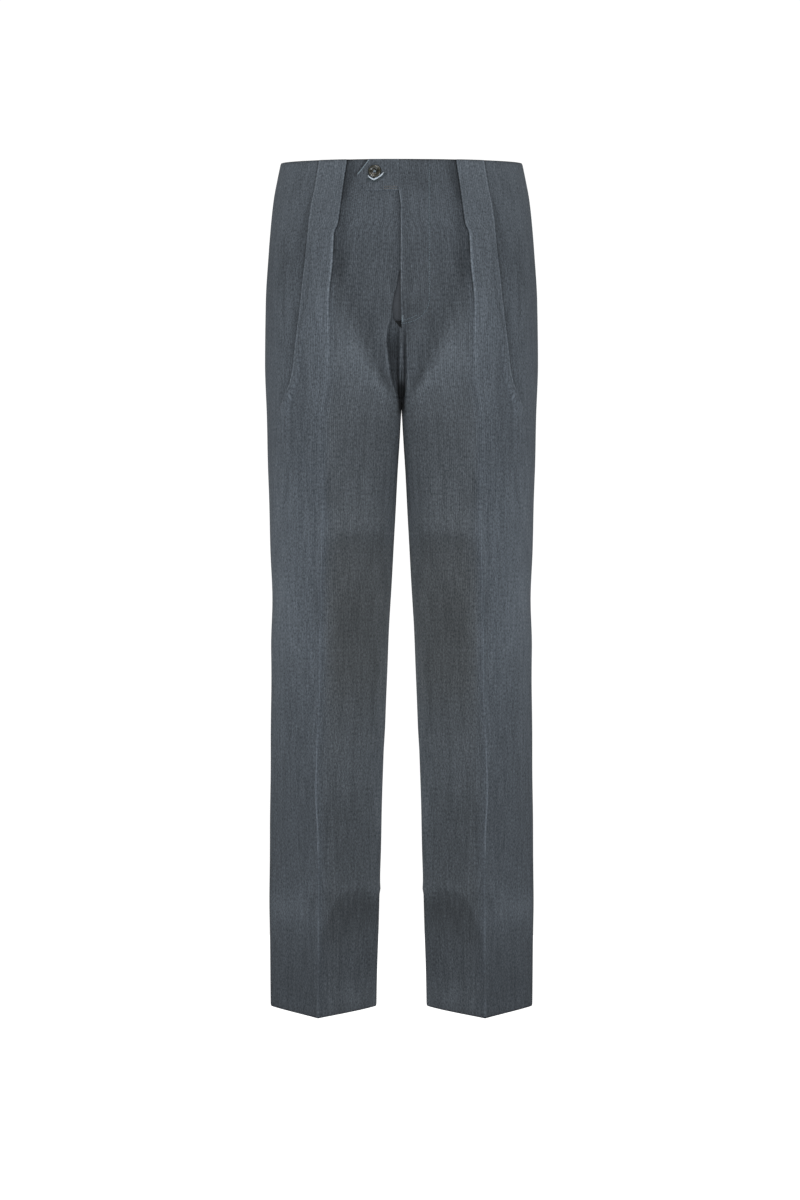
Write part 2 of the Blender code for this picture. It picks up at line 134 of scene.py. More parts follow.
world = bpy.data.worlds.new("studio light")
world.use_nodes = True
tree = world.node_tree
fill = tree.nodes["Background"]
fill.inputs["Color"].default_value = (1, 1, 1, 1)
seen = node(tree, "LightPath").outputs["Is Camera Ray"]
level = node(tree, "MapRange", {"Value": seen, "To Min": AMBIENT, "To Max": BACKGROUND})
tree.links.new(level.outputs["Result"], fill.inputs["Strength"])
scene.world = world

LAMP_AIM = (0, 0, -0.5)
LAMPS = [  # name, place, size, watts and shade
    ("left softbox", (-1.45, -2.6, -0.1), 0.9, 18.6, "#eef5ff"),
    ("right softbox", (1.45, -2.6, -0.1), 0.9, 18.6, "#eef5ff"),
    ("top softbox", (0.0, -1.9, 2.1), 1.0, 26.5, "#fff9f0"),
    ("back softbox", (0.0, 2.8, 0.5), 1.2, 17.0, "#eef5ff"),
]
for name, at, size, watts, shade in LAMPS:
    light = bpy.data.lights.new(name, "AREA")
    light.size, light.energy, light.color = size, watts, linear(shade)[:3]
    lamp = bpy.data.objects.new(name, light)
    lamp.location = at
    lamp.rotation_euler = (Vector(LAMP_AIM) - Vector(at)).to_track_quat("-Z", "Y").to_euler()
    lamp.visible_camera = False
    scene.collection.objects.link(lamp)

# The floor is a disc of rings, paler towards its rim, where it meets the white behind it.
FLOOR_MIDDLE, FLOOR_RINGS, FLOOR_SIDES = 0.0002, 12, 96
GLOW_MIDDLE, GLOW_REACH = 0.2, 1.7
reach = np.linspace(FLOOR_MIDDLE, FLOOR_RADIUS, FLOOR_RINGS)[::-1, None]
turn = np.linspace(0, 2 * math.pi, FLOOR_SIDES + 1)[None, :]
disc = np.stack(np.broadcast_arrays(reach * np.cos(turn), reach * np.sin(turn), FLOOR_Z), axis=-1)
paper, tree, output = new_material("white studio floor")
place = node(tree, "TexCoord").outputs["Object"]
flat = node(tree, "VectorMath", {0: place, 1: (1, 1, 0)}, operation="MULTIPLY")
from_middle = node(tree, "VectorMath", {0: flat.outputs[0]}, operation="LENGTH")
glow = node(tree, "MapRange", {
    "Value": from_middle.outputs["Value"], "From Max": GLOW_REACH,
    "To Min": GLOW_MIDDLE, "To Max": BACKGROUND,
}, interpolation_type="SMOOTHSTEP")
surface = node(tree, "BsdfPrincipled", {
    "Base Color": linear("#f2f3f4"), "Roughness": 1.0, "Specular IOR Level": 0.0,
    "Emission Color": (1, 1, 1, 1), "Emission Strength": glow.outputs["Result"],
})
tree.links.new(surface.outputs["BSDF"], output.inputs["Surface"])
mesh_object("studio_floor", disc, grid_faces(*disc.shape[:2]), paper)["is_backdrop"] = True

# ------------------------------------------------------------------------------------------
# The fronts: one piece each, from the waist's own edge to the hem, cut in needlecord with the
# wales down the crease. Each has one box pleat, pressed flat and sewn in at the waist, which
# opens into the crease of the leg. The left front laps over the right one at the fly.
# ------------------------------------------------------------------------------------------
CLOTH = 1.1  # thickness of the cord
SEAM_GAP = 0.3
LAY = CLOTH + SEAM_GAP  # from a piece to the next one on it
PLY = CLOTH + 0.5  # from one layer of a folded piece to the next
CROTCH, HEM, FLY_FOOT = 302.0, 1054.6, 213.0
FRONT_DIP, BACK_RISE, DIP_FADE = 18.0, 12.0, 100.0
WAIST_FRONT_Y, WAIST_BACK_Y = -105.0, 100.0

LINES_COLUMNS = {
    "side": ("depth", "x"), "inseam": ("depth", "x"), "crease": ("depth", "x"),
    "pleat": ("depth", "x"),
    "depths": ("depth", "centre_y", "crease_y", "side_y", "back_x", "back_y", "seat_y"),
    # headings in degrees, 0 outwards and 90 backwards; reach, corner and round as in the arcs
    "shape": ("depth", "crease_in", "crease_out", "back_in", "back_out", "reach", "corner", "round"),
    "fold": ("depth", "laid", "turn", "step"),
    "lap": ("depth", "left", "right"),
}
LINES = {
    "side": [
        (0, 151.0), (20, 155.2), (45, 159.8), (73, 163.0), (113, 166.3), (174, 170.0),
        (250, 170.9), (320, 168.4), (390, 166.9), (484, 163.6), (547, 161.2), (609, 163.4),
        (700, 163.6), (850, 164.8), (985, 165.4), (1055, 164.2),
    ],
    "inseam": [
        (302, 0.15), (316, 0.9), (324, 1.3), (346, 2.6), (390, 5.4), (453, 8.5), (547, 13.7),
        (641, 18.1), (703, 20.8), (740, 22.9), (797, 23.8), (892, 26.6), (985, 29.7), (1055, 31.6),
    ],
    "crease": [
        (0, 66.1), (30, 70.0), (46, 71.5), (86, 75.4), (96, 76.8), (106, 80.8), (112, 81.4),
        (143, 82.7), (180, 86.1), (212, 87.5),
        (273, 88.1), (334, 94.1), (408, 94.7), (500, 96.4), (547, 98.2), (624, 98.2),
        (660, 99.1), (740, 103.2), (783, 103.7), (840, 101.2), (948, 100.9), (1055, 101.5),
    ],
    "pleat": [
        (0, 98.2), (46, 104.6), (72, 108.6), (127, 114.0), (164, 118.7), (190, 121.4),
        (226, 126.2), (264, 130.2), (283, 133.4), (298, 139.0), (312, 145.8),
    ],
    "depths": [
        (0, WAIST_FRONT_Y, -97, 0, 74, 89, WAIST_BACK_Y), (60, -112, -105, 2, 78, 102, 112),
        (120, -116, -110, 4, 82, 115, 125), (170, -115, -112, 5, 85, 124, 134),
        (215, -113, -113, 5, 87, 125, 135), (260, -112, -113, 4, 89, 122, 130),
        (302, -112, -112, 3, 90, 117, 120), (360, -112, -109, 2, 91, 109, 110),
        (430, -112, -102, 1, 93, 100, 100), (547, -112, -90, 0, 96, 88, 90),
        (700, -112, -84, 0, 98, 84, 84), (860, -112, -80, 0, 98, 80, 80),
        (1055, -112, -78, 0, 98, 77, 77),
    ],
    "shape": [
        (0, 14, 22, 158, 164, 0.35, 20, 1), (120, 8, 16, 162, 166, 0.35, 20, 1),
        (205, 2, 14, 166, 170, 0.36, 14, 1), (240, -1, 14, 168, 174, 0.45, 14, 1),
        (270, -3, 15, 168, 178, 0.56, 17, 1), (302, -6, 16, 168, 182, 0.62, 24, 1),
        (360, -10, 18, 166, 186, 0.62, 34, 1), (430, -15, 21, 162, 191, 0.58, 42, 1),
        (547, -24, 28, 154, 203, 0.50, 50, 0.9), (700, -33, 36, 146, 212, 0.44, 60, 0.65),
        (860, -41, 43, 138, 220, 0.40, 64, 0.45), (1055, -46, 50, 130, 226, 0.36, 66, 0.32),
    ],
    "lap": [
        (0, 3.0, 6.5), (42, 3.0, 6.5), (54, 2.0, 6.5), (66, 1.1, 6.5), (80, 0.8, 6.5),
        (135, 0.8, 6.0), (147, 0.8, 1.0),
        (153, 0.8, -2.4), (170, 0.7, -5.8), (184, 0.6, -9.4), (197, 0.5, -11.0), (209, 0.2, -10.0),
        (216, 0.0, -5.0), (222, 0.0, 0.0),
    ],
}
# A fold's length laid back under the strip, the turn of each of its bends in degrees, and the
# length of cloth in a bend's part.
INNER_FOLD = [
    (0, 12.4, 180, 0.8), (95, 12.4, 180, 0.8), (150, 0.6, 180, 0.8), (165, 0.6, 170, 0.8),
    (195, 0.8, 75, 1.0), (220, 2.0, 20, 2.0), (240, 2.0, 0, 2.0), (330, 0.8, 0, 1.0),
    (1055, 0.8, 0, 1.0),
]
OUTER_FOLD = [
    (0, 12.4, 180, 0.8), (150, 12.4, 180, 0.8), (262, 0.6, 180, 0.8), (282, 0.6, 165, 0.8),
    (305, 1.0, 60, 1.2), (325, 3.0, 0, 3.0), (1055, 3.0, 0, 3.0),
]
# The crotch lies at this y. The inseam comes to y = 0 at the next depth, and the legs part over
# this length below the crotch.
CROTCH_Y, MIDDLE_FROM, LEGS_PART = 10.0, 560.0, 4.0
# Each half's crotch curve: the depths where it begins and where the plan beside it has turned
# inwards, and the most of its hollow that its corner takes. A corner spans so many of its sizes.
RISES = {"front": (215.0, 238.0, 0.45), "back": (205.0, 275.0, 0.50)}
CORNER_SPAN = 1.7
# Between these depths the turn beside the inseam gets tighter, by this share.
PRESSED_FROM, PRESSED_TO, PRESSED_SHARE = 400.0, 820.0, 0.67
ARC_POINTS, NORMAL_REACH = 120, 1.0  # points of an arc; the plan's normal is read this far round
FOLD_PARTS, BEND = 6, 3  # parts of a bend here, and the parts that the tables' steps are for
# Columns beside a fold: the least distance of the outermost, and their shares of it on top.
FOLD_CLEAR, FOLD_BESIDE = 6.0, (0.08, 0.18, 0.4, 1.0)
# Between these depths the outer fold's columns come to this share of the way to the side seam.
FOLD_END, COLUMNS_REST, COLUMNS_SHARE, FOLD_PLACES = 312.0, 380.0, 0.70, 80
# The left front lies on the right one as far as the first distance, and is down on the form at
# the second. The lap ends between these depths.
LAP_OVER, LAP_DOWN, LAP_CLOSING = 9.0, 26.0, (205.0, 219.0)


def smooth(table, names, name, depth):
    """A table's column at any depth: cubic pieces between its rows, with the harmonic mean of
    the two slopes at each row, so that the curve keeps between its own values."""
    rows = np.array(table, float)
    x, y = rows[:, 0], rows[:, names.index(name)]
    step = np.diff(x)
    slope = np.diff(y) / step
    tangent = np.concatenate([slope[:1], np.zeros(len(x) - 2), slope[-1:]])
    same = slope[:-1] * slope[1:] > 0
    mean = 2 * slope[:-1] * slope[1:] / np.where(same, slope[:-1] + slope[1:], 1)
    tangent[1:-1] = np.where(same, mean, 0)
    at = np.clip(depth, x[0], x[-1])
    k = np.clip(np.searchsorted(x, at, side="right") - 1, 0, len(x) - 2)
    u = (at - x[k]) / step[k]
    value = (2 * u**3 - 3 * u**2 + 1) * y[k] + (3 * u**2 - 2 * u**3) * y[k + 1]
    return value + step[k] * ((u**3 - 2 * u**2 + u) * tangent[k] + (u**3 - u**2) * tangent[k + 1])


def columns_at(table, names, at):
    """All of a table's columns but its first, at values of that one."""
    return [smooth(table, names, name, at) for name in names[1:]]


def line(name, depth, column="x"):
    """One of the form's lines at the depths given."""
    return smooth(LINES[name], LINES_COLUMNS[name], column, depth)


def ease(value, low, high):
    """0 at low, 1 at high, level at both ends: 3u² - 2u³."""
    u = np.clip((value - low) / (high - low), 0, 1)
    return u * u * (3 - 2 * u)


def within(value, low, high, last, gone):
    """1 between high and last, and 0 before low and after gone."""
    return ease(value, low, high) * (1 - ease(value, last, gone))


def bell(gap, width):
    """A soft ridge's share of its height: exp(-(gap/width)²)."""
    return np.exp(-((gap / width) ** 2))


def beside(gap, width):
    """What fades away on both sides of a line: exp(-|gap|/width)."""
    return np.exp(-np.abs(gap) / width)


def towards(heading, length):
    """Steps of a length along headings in degrees, a row of x and y for each."""
    heading, length = np.broadcast_arrays(np.radians(heading), length)
    return length[:, None] * np.stack([np.cos(heading), np.sin(heading)], axis=1)


def cubic(start, first, second, end):
    """Points on cubic curves, one curve a row: (1-u)³a + 3u(1-u)²b + 3u²(1-u)c + u³d."""
    u = np.linspace(0, 1, ARC_POINTS)[None, :, None]
    a, b, c, d = (np.asarray(p, float)[:, None, :] for p in (start, first, second, end))
    return (1 - u) ** 3 * a + 3 * u * (1 - u) ** 2 * b + 3 * u * u * (1 - u) * c + u**3 * d


def outer_arc(start, heading, end, end_heading, start_round, end_round):
    """From crease to side seam: near a circle's arc, its handles shortened by each round."""
    turn = np.radians(end_heading - heading)
    handle = np.linalg.norm(end - start, axis=1) / (3 * np.cos(turn / 4) ** 2)
    first = start + towards(heading, handle * start_round)
    return cubic(start, first, end - towards(end_heading, handle * end_round), end)


def inner_arc(half, depth, inner, crease, crease_heading, reach, corner):
    """From the seam to a crease: across the belly or seat above the crotch curve, and below it
    straight in from the seam and round a corner. The back is a front turned round."""
    top, turned, share = RISES[half]
    mirror = np.array([1, 1 if half == "front" else -1])
    inner, crease = inner * mirror, crease * mirror
    heading = crease_heading if half == "front" else 180 - crease_heading
    inward = ease(depth, top, turned)
    width, hollow = crease[:, 0] - inner[:, 0], np.maximum(inner[:, 1] - crease[:, 1], 0)
    straight = np.maximum(hollow - CORNER_SPAN * corner, 0) * inward
    begin = inner + towards(-90, straight)
    pressed = PRESSED_SHARE * ease(depth, PRESSED_FROM, PRESSED_TO)
    rest = (hollow - straight - np.minimum(corner, share * hollow)) * (1 - pressed)
    first = begin + np.stack([width / 3 * (1 - inward), -rest * inward], axis=1)
    turn = cubic(begin, first, crease - towards(heading, width * reach), crease)
    points = np.concatenate([inner[:, None, :], turn], axis=1) * mirror
    return points if half == "front" else points[:, ::-1]


def share_at(values, wanted):
    """Where each row's rising values reach the one wanted, from 0 at its first to 1."""
    count = values.shape[1]
    k = np.clip((values < wanted[:, None]).sum(axis=1) - 1, 0, count - 2)
    low = np.take_along_axis(values, k[:, None], 1)[:, 0]
    high = np.take_along_axis(values, k[:, None] + 1, 1)[:, 0]
    return np.clip((k + (wanted - low) / np.maximum(high - low, 1e-6)) / (count - 1), 0, 1)


class Form:
    """Half plans of the outside of the cloth at many depths: a row of points for each."""

    def __init__(self, depth):
        self.depth = depth = np.asarray(depth, float)
        at = {name: line("depths", depth, name) for name in LINES_COLUMNS["depths"][1:]}
        turn = {name: line("shape", depth, name) for name in LINES_COLUMNS["shape"][1:]}
        above = depth < CROTCH
        drop = {
            half: np.clip((depth - top) / (CROTCH - top), 0, 1)
            for half, (top, _, _) in RISES.items()
        }
        below_y = CROTCH_Y * (1 - ease(depth, CROTCH, MIDDLE_FROM))
        parted = ease(depth, CROTCH, CROTCH + LEGS_PART)
        inner_x = np.where(above, 0.0, line("inseam", depth) * parted)
        front_y = CROTCH_Y + (at["centre_y"] - CROTCH_Y) * np.sqrt(1 - drop["front"] ** 2)
        back_y = CROTCH_Y + (at["seat_y"] - CROTCH_Y) * np.sqrt(1 - drop["back"] ** 2)
        front_end = np.stack([inner_x, np.where(above, front_y, below_y)], axis=1)
        back_end = np.stack([inner_x, np.where(above, back_y, below_y)], axis=1)
        crease = np.stack([line("crease", depth), at["crease_y"]], axis=1)
        side = np.stack([line("side", depth), at["side_y"]], axis=1)
        back_crease = np.stack([at["back_x"], at["back_y"]], axis=1)
        rounding, corner = turn["round"], (turn["reach"], turn["corner"])
        arcs = [
            inner_arc("front", depth, front_end, crease, turn["crease_in"], *corner),
            outer_arc(crease, turn["crease_out"], side, 90, 1, rounding),
            outer_arc(side, 90, back_crease, turn["back_in"], rounding, 1),
            inner_arc("back", depth, back_end, back_crease, turn["back_out"], *corner),
        ]
        self.points = np.concatenate([arcs[0]] + [points[:, 1:] for points in arcs[1:]], axis=1)
        steps = np.linalg.norm(np.diff(self.points, axis=1), axis=2)
        self.length = np.concatenate([0 * depth[:, None], np.cumsum(steps, axis=1)], axis=1)
        self.crease = self.length[:, ARC_POINTS]
        self.side = self.length[:, 2 * ARC_POINTS - 1]
        self.back_crease = self.length[:, 3 * ARC_POINTS - 2]
        self.end = self.length[:, -1]
        flank = self.side - self.crease
        outer = self.crease[:, None] + flank[:, None] * np.linspace(0, 1, FOLD_PLACES)
        by_x = self.crease + flank * share_at(self.place(outer)[..., 0], line("pleat", depth))
        rest = self.crease + COLUMNS_SHARE * flank
        fade = ease(depth, FOLD_END, COLUMNS_REST)
        self.fold = by_x * (1 - fade) + rest * fade

    def place(self, s):
        """Plan points at distances s, a row for each depth. Before 0 they are on the other half.

        One interpolation reads all rows, each row's distances being moved clear of the others."""
        clear = 1e4 * np.arange(len(self.depth))[:, None]
        across = np.minimum(np.abs(s), self.end[:, None]) + clear
        known = (self.length + clear).ravel()
        x = np.interp(across.ravel(), known, self.points[..., 0].ravel()).reshape(across.shape)
        y = np.interp(across.ravel(), known, self.points[..., 1].ravel()).reshape(across.shape)
        return np.stack([np.where(s < 0, -x, x), y], axis=-1)

    def from_middle(self, s):
        """How far points at distances s are from the middle of the trousers, across."""
        return np.abs(self.place(s)[..., 0])

    def raised(self, s, n):
        """Points n above the form at distances s: the plan point, moved along the plan's normal,
        and the depth, with the waist's dip at the front and rise at the back."""
        first = np.where(self.depth > FLY_FOOT, 0, -self.end)[:, None]
        run = self.place(np.minimum(s + NORMAL_REACH, self.end[:, None]))
        run = run - self.place(np.maximum(s - NORMAL_REACH, first))
        run /= np.maximum(np.linalg.norm(run, axis=-1, keepdims=True), 1e-9)
        plan = self.place(s) + n[..., None] * np.stack([run[..., 1], -run[..., 0]], axis=-1)
        y = plan[..., 1]
        lift = np.where(y < 0, -FRONT_DIP * y / WAIST_FRONT_Y, BACK_RISE * y / WAIST_BACK_Y)
        z = lift * (1 - ease(self.depth, 0, DIP_FADE))[:, None] - self.depth[:, None]
        return np.stack([plan[..., 0], y, z], axis=-1)


def fold(table, depth):
    """(s, n) across a fold, a row for each depth, from the cloth below it to the cloth on top.

    The cloth bends up and back by its turn, lies back, and bends forward again."""
    laid, turn, step = columns_at(table, LINES_COLUMNS["fold"], depth)
    bend = turn[:, None] * (np.arange(FOLD_PARTS) + 0.5) / FOLD_PARTS
    heading = np.radians(np.concatenate([bend, turn[:, None], bend[:, ::-1]], axis=1))
    # Both bends are as long as the table says, and a closed fold is two plies high.
    length = np.repeat((step * BEND / FOLD_PARTS)[:, None], 2 * FOLD_PARTS + 1, axis=1)
    length[:, FOLD_PARTS] = laid
    start = np.zeros((len(depth), 1))
    s = np.concatenate([start, np.cumsum(length * np.cos(heading), axis=1)], axis=1)
    n = np.concatenate([start, np.cumsum(length * np.sin(heading), axis=1)], axis=1)
    s = s - s[:, FOLD_PARTS + 1 :].min(axis=1, keepdims=True)
    clear = np.maximum(laid, FOLD_CLEAR)[:, None]
    on_top = np.array(FOLD_BESIDE)[None, :]
    s = np.concatenate([s[:, :1] - clear, s, s[:, -1:] + clear * on_top], axis=1)
    return s, np.concatenate([n[:, :1], n, n[:, -1:] + 0 * on_top], axis=1)


def between(start, end, count, power=1.0):
    """count columns from start up to but not at end, closer together at start for power > 1."""
    share = (np.arange(count) / count)[None, :] ** power
    return start[:, None] + (end - start)[:, None] * share


# How the cloth is drawn out of its plain form: ridges and troughs along lines, in plan x and
# depth, and dents at places. A width is from the middle to where 1/e of the height is left.
# The gain is painted light and shade that go with each form.
DRAG_COLUMNS = ("depth", "x", "width", "height", "gain")
DRAGS = {
    "front": {
        # from the pleat's opening down the inside of the thigh to the crotch
        "thigh ridge": [
            (120, 84, 12, 0, 0), (170, 82, 13, 2.0, 0.04), (215, 70, 15, 4.0, 0.10),
            (262, 46, 13, 4.2, 0.16), (296, 21, 9, 2.8, 0.16), (316, 8, 6, 0, 0),
        ],
        "fly hollow": [
            (90, 54, 16, 0, 0), (150, 54, 15, -2.6, -0.06), (185, 53, 14, -4.2, -0.18),
            (215, 43, 13, -4.6, -0.20), (250, 27, 10, -4.0, -0.22), (276, 18, 8, -3.0, -0.24),
            (298, 9, 6, 0, 0),
        ],
        "pleat shadow": [
            (0, 62, 7, -2.2, -0.24), (30, 65, 8, -2.6, -0.36), (50, 67, 7, -2.8, -0.32),
            (72, 69, 6, -2.8, -0.16), (112, 72, 7, -3.4, -0.22), (142, 73, 9, -3.2, -0.36),
            (165, 75, 9, -2.4, -0.28), (190, 78, 9, -1.0, -0.16), (215, 82, 9, 0, 0),
        ],
        "beside the pleat": [
            (30, 114, 9, 0, 0), (100, 119, 9, -1.0, -0.12), (150, 121, 9, -1.6, -0.14),
            (220, 124, 10, -1.8, -0.14), (290, 124, 13, -1.6, -0.16), (350, 120, 15, -1.0, -0.13),
            (430, 112, 16, -0.5, -0.05), (480, 110, 16, 0, 0),
        ],
        "down the flank": [
            (0, 146, 16, 0, 0.14), (60, 152, 18, 0, 0.24), (150, 162, 16, 0, 0.12),
            (250, 162, 18, 0, 0.20), (450, 158, 18, 0, 0.24), (560, 155, 18, 0, 0.22),
            (640, 155, 16, 0, 0.10), (760, 155, 14, 0, 0.10), (830, 155, 14, 0, 0),
        ],
    },
    "back": {
        "seat drag": [
            (230, 92, 16, 0, 0), (270, 70, 15, -2.2, -0.04), (305, 34, 12, -2.6, -0.05),
            (330, 10, 8, 0, 0),
        ],
        "under the seat": [
            (250, 112, 14, 0, 0), (300, 84, 14, 2.4, 0.05), (345, 44, 12, 2.2, 0.05),
            (380, 18, 10, 0, 0),
        ],
    },
}
DENT_COLUMNS = ("x", "depth", "wide", "tall", "height", "gain")
# A dent's gain is painted light where it is above 0, and painted shade where it is below.
DENTS = {
    "front": [
        (18, 34, 26, 26, 0, -0.12),  # round the waist's closing
        (4, 166, 9, 16, 0, -0.12),
        (22, 198, 17, 22, -0.4, -0.13),
        (68, 258, 19, 24, 1.4, 0.22),  # the thigh's fullness, light
        (44, 288, 17, 13, 0.8, 0.14),
        (97, 268, 8, 16, -0.4, -0.12),
        (30, 352, 22, 20, -2.0, -0.10),  # under it, dark
        (42, 334, 24, 12, -0.4, -0.09),
        (60, 384, 42, 24, -2.2, -0.12),
        (92, 418, 17, 20, -1.6, -0.17),
        (52, 446, 40, 12, 1.2, 0.07),  # above the knee
        (88, 512, 15, 18, -1.0, -0.08),
        (58, 566, 15, 40, -1.2, -0.10),
        (106, 546, 9, 42, -0.8, -0.19),
        (84, 566, 6, 40, 0.3, 0.06),
        (146, 556, 26, 40, 1.0, 0.08),  # the outside of the knee
        (152, 436, 16, 22, 0.5, 0.10),
        (152, 536, 14, 26, 0.5, 0.12),
        (50, 722, 17, 9, 1.2, 0.10),  # a light line slanting out over the shin
        (66, 746, 13, 10, 1.2, 0.12),
        (86, 752, 9, 16, -0.8, -0.10),
        (68, 814, 19, 26, -1.6, -0.10),
        (92, 890, 15, 10, 1.0, 0.14),  # above the ankle's fold
        (134, 924, 34, 20, 1.0, 0.20),
        (152, 930, 12, 14, 0.2, 0.12),
        (60, 934, 26, 15, -0.6, -0.13),  # below it
        (80, 958, 24, 13, -0.3, -0.10),
        (70, 1032, 20, 14, 0.4, 0.14),
        (136, 1022, 26, 20, -0.8, -0.06),
    ],
    "back": [
        (88, 452, 30, 10, -1.6, -0.06), (78, 486, 34, 9, 1.4, 0.04), (96, 520, 28, 10, -1.6, -0.06),
        (80, 560, 30, 12, 1.2, 0.03), (100, 905, 30, 14, -1.8, -0.08), (88, 950, 34, 16, 1.2, 0.03),
        (104, 1000, 26, 12, -1.0, -0.04),
    ],
}
# An arch is a fold across the leg: the cloth stands out above its line, with painted light, and
# falls back below it, with painted shade. x is across the leg, and strength a share of the
# heights and gains below.
ARCH_COLUMNS = ("x", "depth", "strength")
ARCHES = {
    "front": {
        "knee": [
            (10, 463, 0.8), (30, 461, 1.0), (60, 464, 1.0), (82, 473, 0.9), (92, 487, 0.6),
            (99, 502, 0),
        ],
        "ankle": [
            (26, 916, 0.9), (42, 906, 1.2), (58, 901, 1.3), (74, 907, 1.2), (86, 926, 0.8),
            (96, 954, 0),
        ],
    },
    "back": {
        "behind the knee": [
            (30, 512, 0.5), (50, 508, 0.8), (84, 502, 0.9), (112, 508, 0.5), (130, 520, 0),
        ],
        "heel": [
            (40, 978, 0), (60, 972, 0.5), (92, 968, 0.7), (124, 974, 0.4), (144, 984, 0),
        ],
    },
}
ARCH_TURN, ARCH_ABOVE, ARCH_BELOW = 4.0, 13.0, 30.0
ARCH_SIDES = {"height": (1.5, -1.3), "gain": (0.05, -0.15)}  # above the line and below it
# The crotch: the right front folds in beside the seam below the fly, with a sharp edge at x,
# and the left one is only drawn in a little. A drop is how far back it lies.
HOLLOW_COLUMNS = ("depth", "x", "drop")
HOLLOW = {
    "right": [
        (150, 12, 0), (190, 12.2, 1.4), (203, 12.4, 3), (212, 13.4, 5), (224, 16.8, 8),
        (236, 17.8, 13), (249, 16.6, 15), (272, 12.6, 13), (290, 8.4, 10), (304, 5.2, 7),
        (318, 3.6, 3), (334, 3, 0),
    ],
    "left": [
        (214, 5.4, 0), (232, 5.4, 3.4), (262, 5.8, 6), (288, 5.2, 7), (304, 4.2, 6), (318, 3.6, 3),
        (334, 3, 0),
    ],
}
HOLLOW_EDGE, HOLLOW_SEAM = 0.8, (0.9, 3.2)
SEAM_TUCK, SEAM_TUCK_WIDTH = 0.55, 1.4  # the cloth turns in where it is sewn
# The allowances of a seam with a full tuck show through, from it to where they end.
PRESSED_OPEN, PRESSED_RISE, PRESSED_TUCK = (10.0, 15.0), 0.28, 0.3
# A ripple's height, its a across and b down, and its phase.
RIPPLES = [(0.30, 41.0, 330.0, 0.4), (0.22, 23.0, 190.0, 2.1), (0.18, 67.0, 113.0, 4.0)]
RIPPLES_FROM, RIPPLES_IN = (300.0, 420.0), (2.0, 20.0)
# The way that the cloth faces is read this far on both sides. Forms fade out where it runs across
# by less than the share.
FACING_REACH, FACING = 1.5, 0.7


def crotch_hollow(form, s, half):
    """How far back the cloth lies in the hollow beside the crotch seam: its drop, inside a sharp
    edge at its x, coming up again to the seam."""
    x = form.from_middle(s)
    edge, drop = columns_at(HOLLOW[half], HOLLOW_COLUMNS, form.depth[:, None])
    inside = np.where(s < form.crease[:, None], 1 - ease(x - edge, -HOLLOW_EDGE, HOLLOW_EDGE), 0)
    return drop * inside * ease(x, *HOLLOW_SEAM)


def facing(form, s):
    """How much the plan runs across at distances s: 1 to the side, 0 back, -1 the other way."""
    run = form.place(s + FACING_REACH) - form.place(s - FACING_REACH)
    return run[..., 0] / np.maximum(np.linalg.norm(run, axis=-1), 1e-9)


def soft_forms(form, s, column):
    """Height, or painted light and shade (the gain), of the cloth's drags, dents and arches, as the
    column says.

    A drag is h exp(-((x - x0)/w)²), a dent h exp(-((x - x0)/a)² - ((d - d0)/b)²), and an arch is
    h exp(-((d - line)/a)²) with one h and a above its line and another below. They fade out
    where the plan turns away from the front or the back."""
    plan, run = form.place(s), facing(form, s)
    x, depth, total = np.abs(plan[..., 0]), form.depth[:, None], np.zeros_like(s)
    above, below = ARCH_SIDES[column]
    for half, way in (("front", 1), ("back", -1)):
        part = np.zeros_like(s)
        for table in DRAGS[half].values():
            names = ("x", "width", column)
            x0, width, rise = (smooth(table, DRAG_COLUMNS, name, depth) for name in names)
            part += rise * bell(x - x0, width)
        for dent in DENTS[half]:
            x0, d0, wide, tall = dent[:4]
            part += dent[DENT_COLUMNS.index(column)] * bell(x - x0, wide) * bell(depth - d0, tall)
        for table in ARCHES[half].values():
            across, strength = columns_at(table, ARCH_COLUMNS, x)
            gap = depth - across
            low = ease(gap, -ARCH_TURN, ARCH_TURN)
            side = above * (1 - low) * bell(np.minimum(gap, 0), ARCH_ABOVE)
            part += strength * (side + below * low * bell(np.maximum(gap, 0), ARCH_BELOW))
        total += part * ease(way * run, 0, FACING) * (way * plan[..., 1] < 0)
    return total


def soft_relief(form, s, seams):
    """Height of the cloth's soft forms, its long ripples, and the tucks at its seams, which are
    given as columns of a distance and a tuck.

    A ripple is h sin(x/a + 2πd/b + phase), and a tuck -t exp(-gap/w)."""
    x, depth = form.from_middle(s), form.depth[:, None]
    height = soft_forms(form, s, "height")
    for rise, wide, tall, phase in RIPPLES:
        wave = rise * np.sin(x / wide + depth / tall * 2 * math.pi + phase)
        height += wave * ease(depth, *RIPPLES_FROM) * ease(x, *RIPPLES_IN)
    for seam, tuck in seams:
        open_seam = 1 - ease(np.abs(s - seam), *PRESSED_OPEN)
        height += PRESSED_RISE * open_seam * (tuck > PRESSED_TUCK)
        height -= tuck * beside(s - seam, SEAM_TUCK_WIDTH)
    return height


EDGE_ROLL, EDGE_ROLL_WIDTH = 0.45, 1.3  # the waist's edge and the hem are folded, not cut


def edge_roll(form):
    """How far the cloth turns in at the waist's edge and the hem."""
    ends = np.minimum(form.depth, HEM - form.depth)[:, None]
    return EDGE_ROLL * bell(ends, EDGE_ROLL_WIDTH)


def add_map(made, name, chart):
    """Gives a mesh object a UV map in metres, from the place of each point on it in mm."""
    loops = np.empty(len(made.data.loops), np.int32)
    made.data.loops.foreach_get("vertex_index", loops)
    chart = (chart.reshape(-1, 2)[loops] * MM).astype(np.float32)
    made.data.uv_layers.new(name=name).data.foreach_set("uv", chart.ravel())


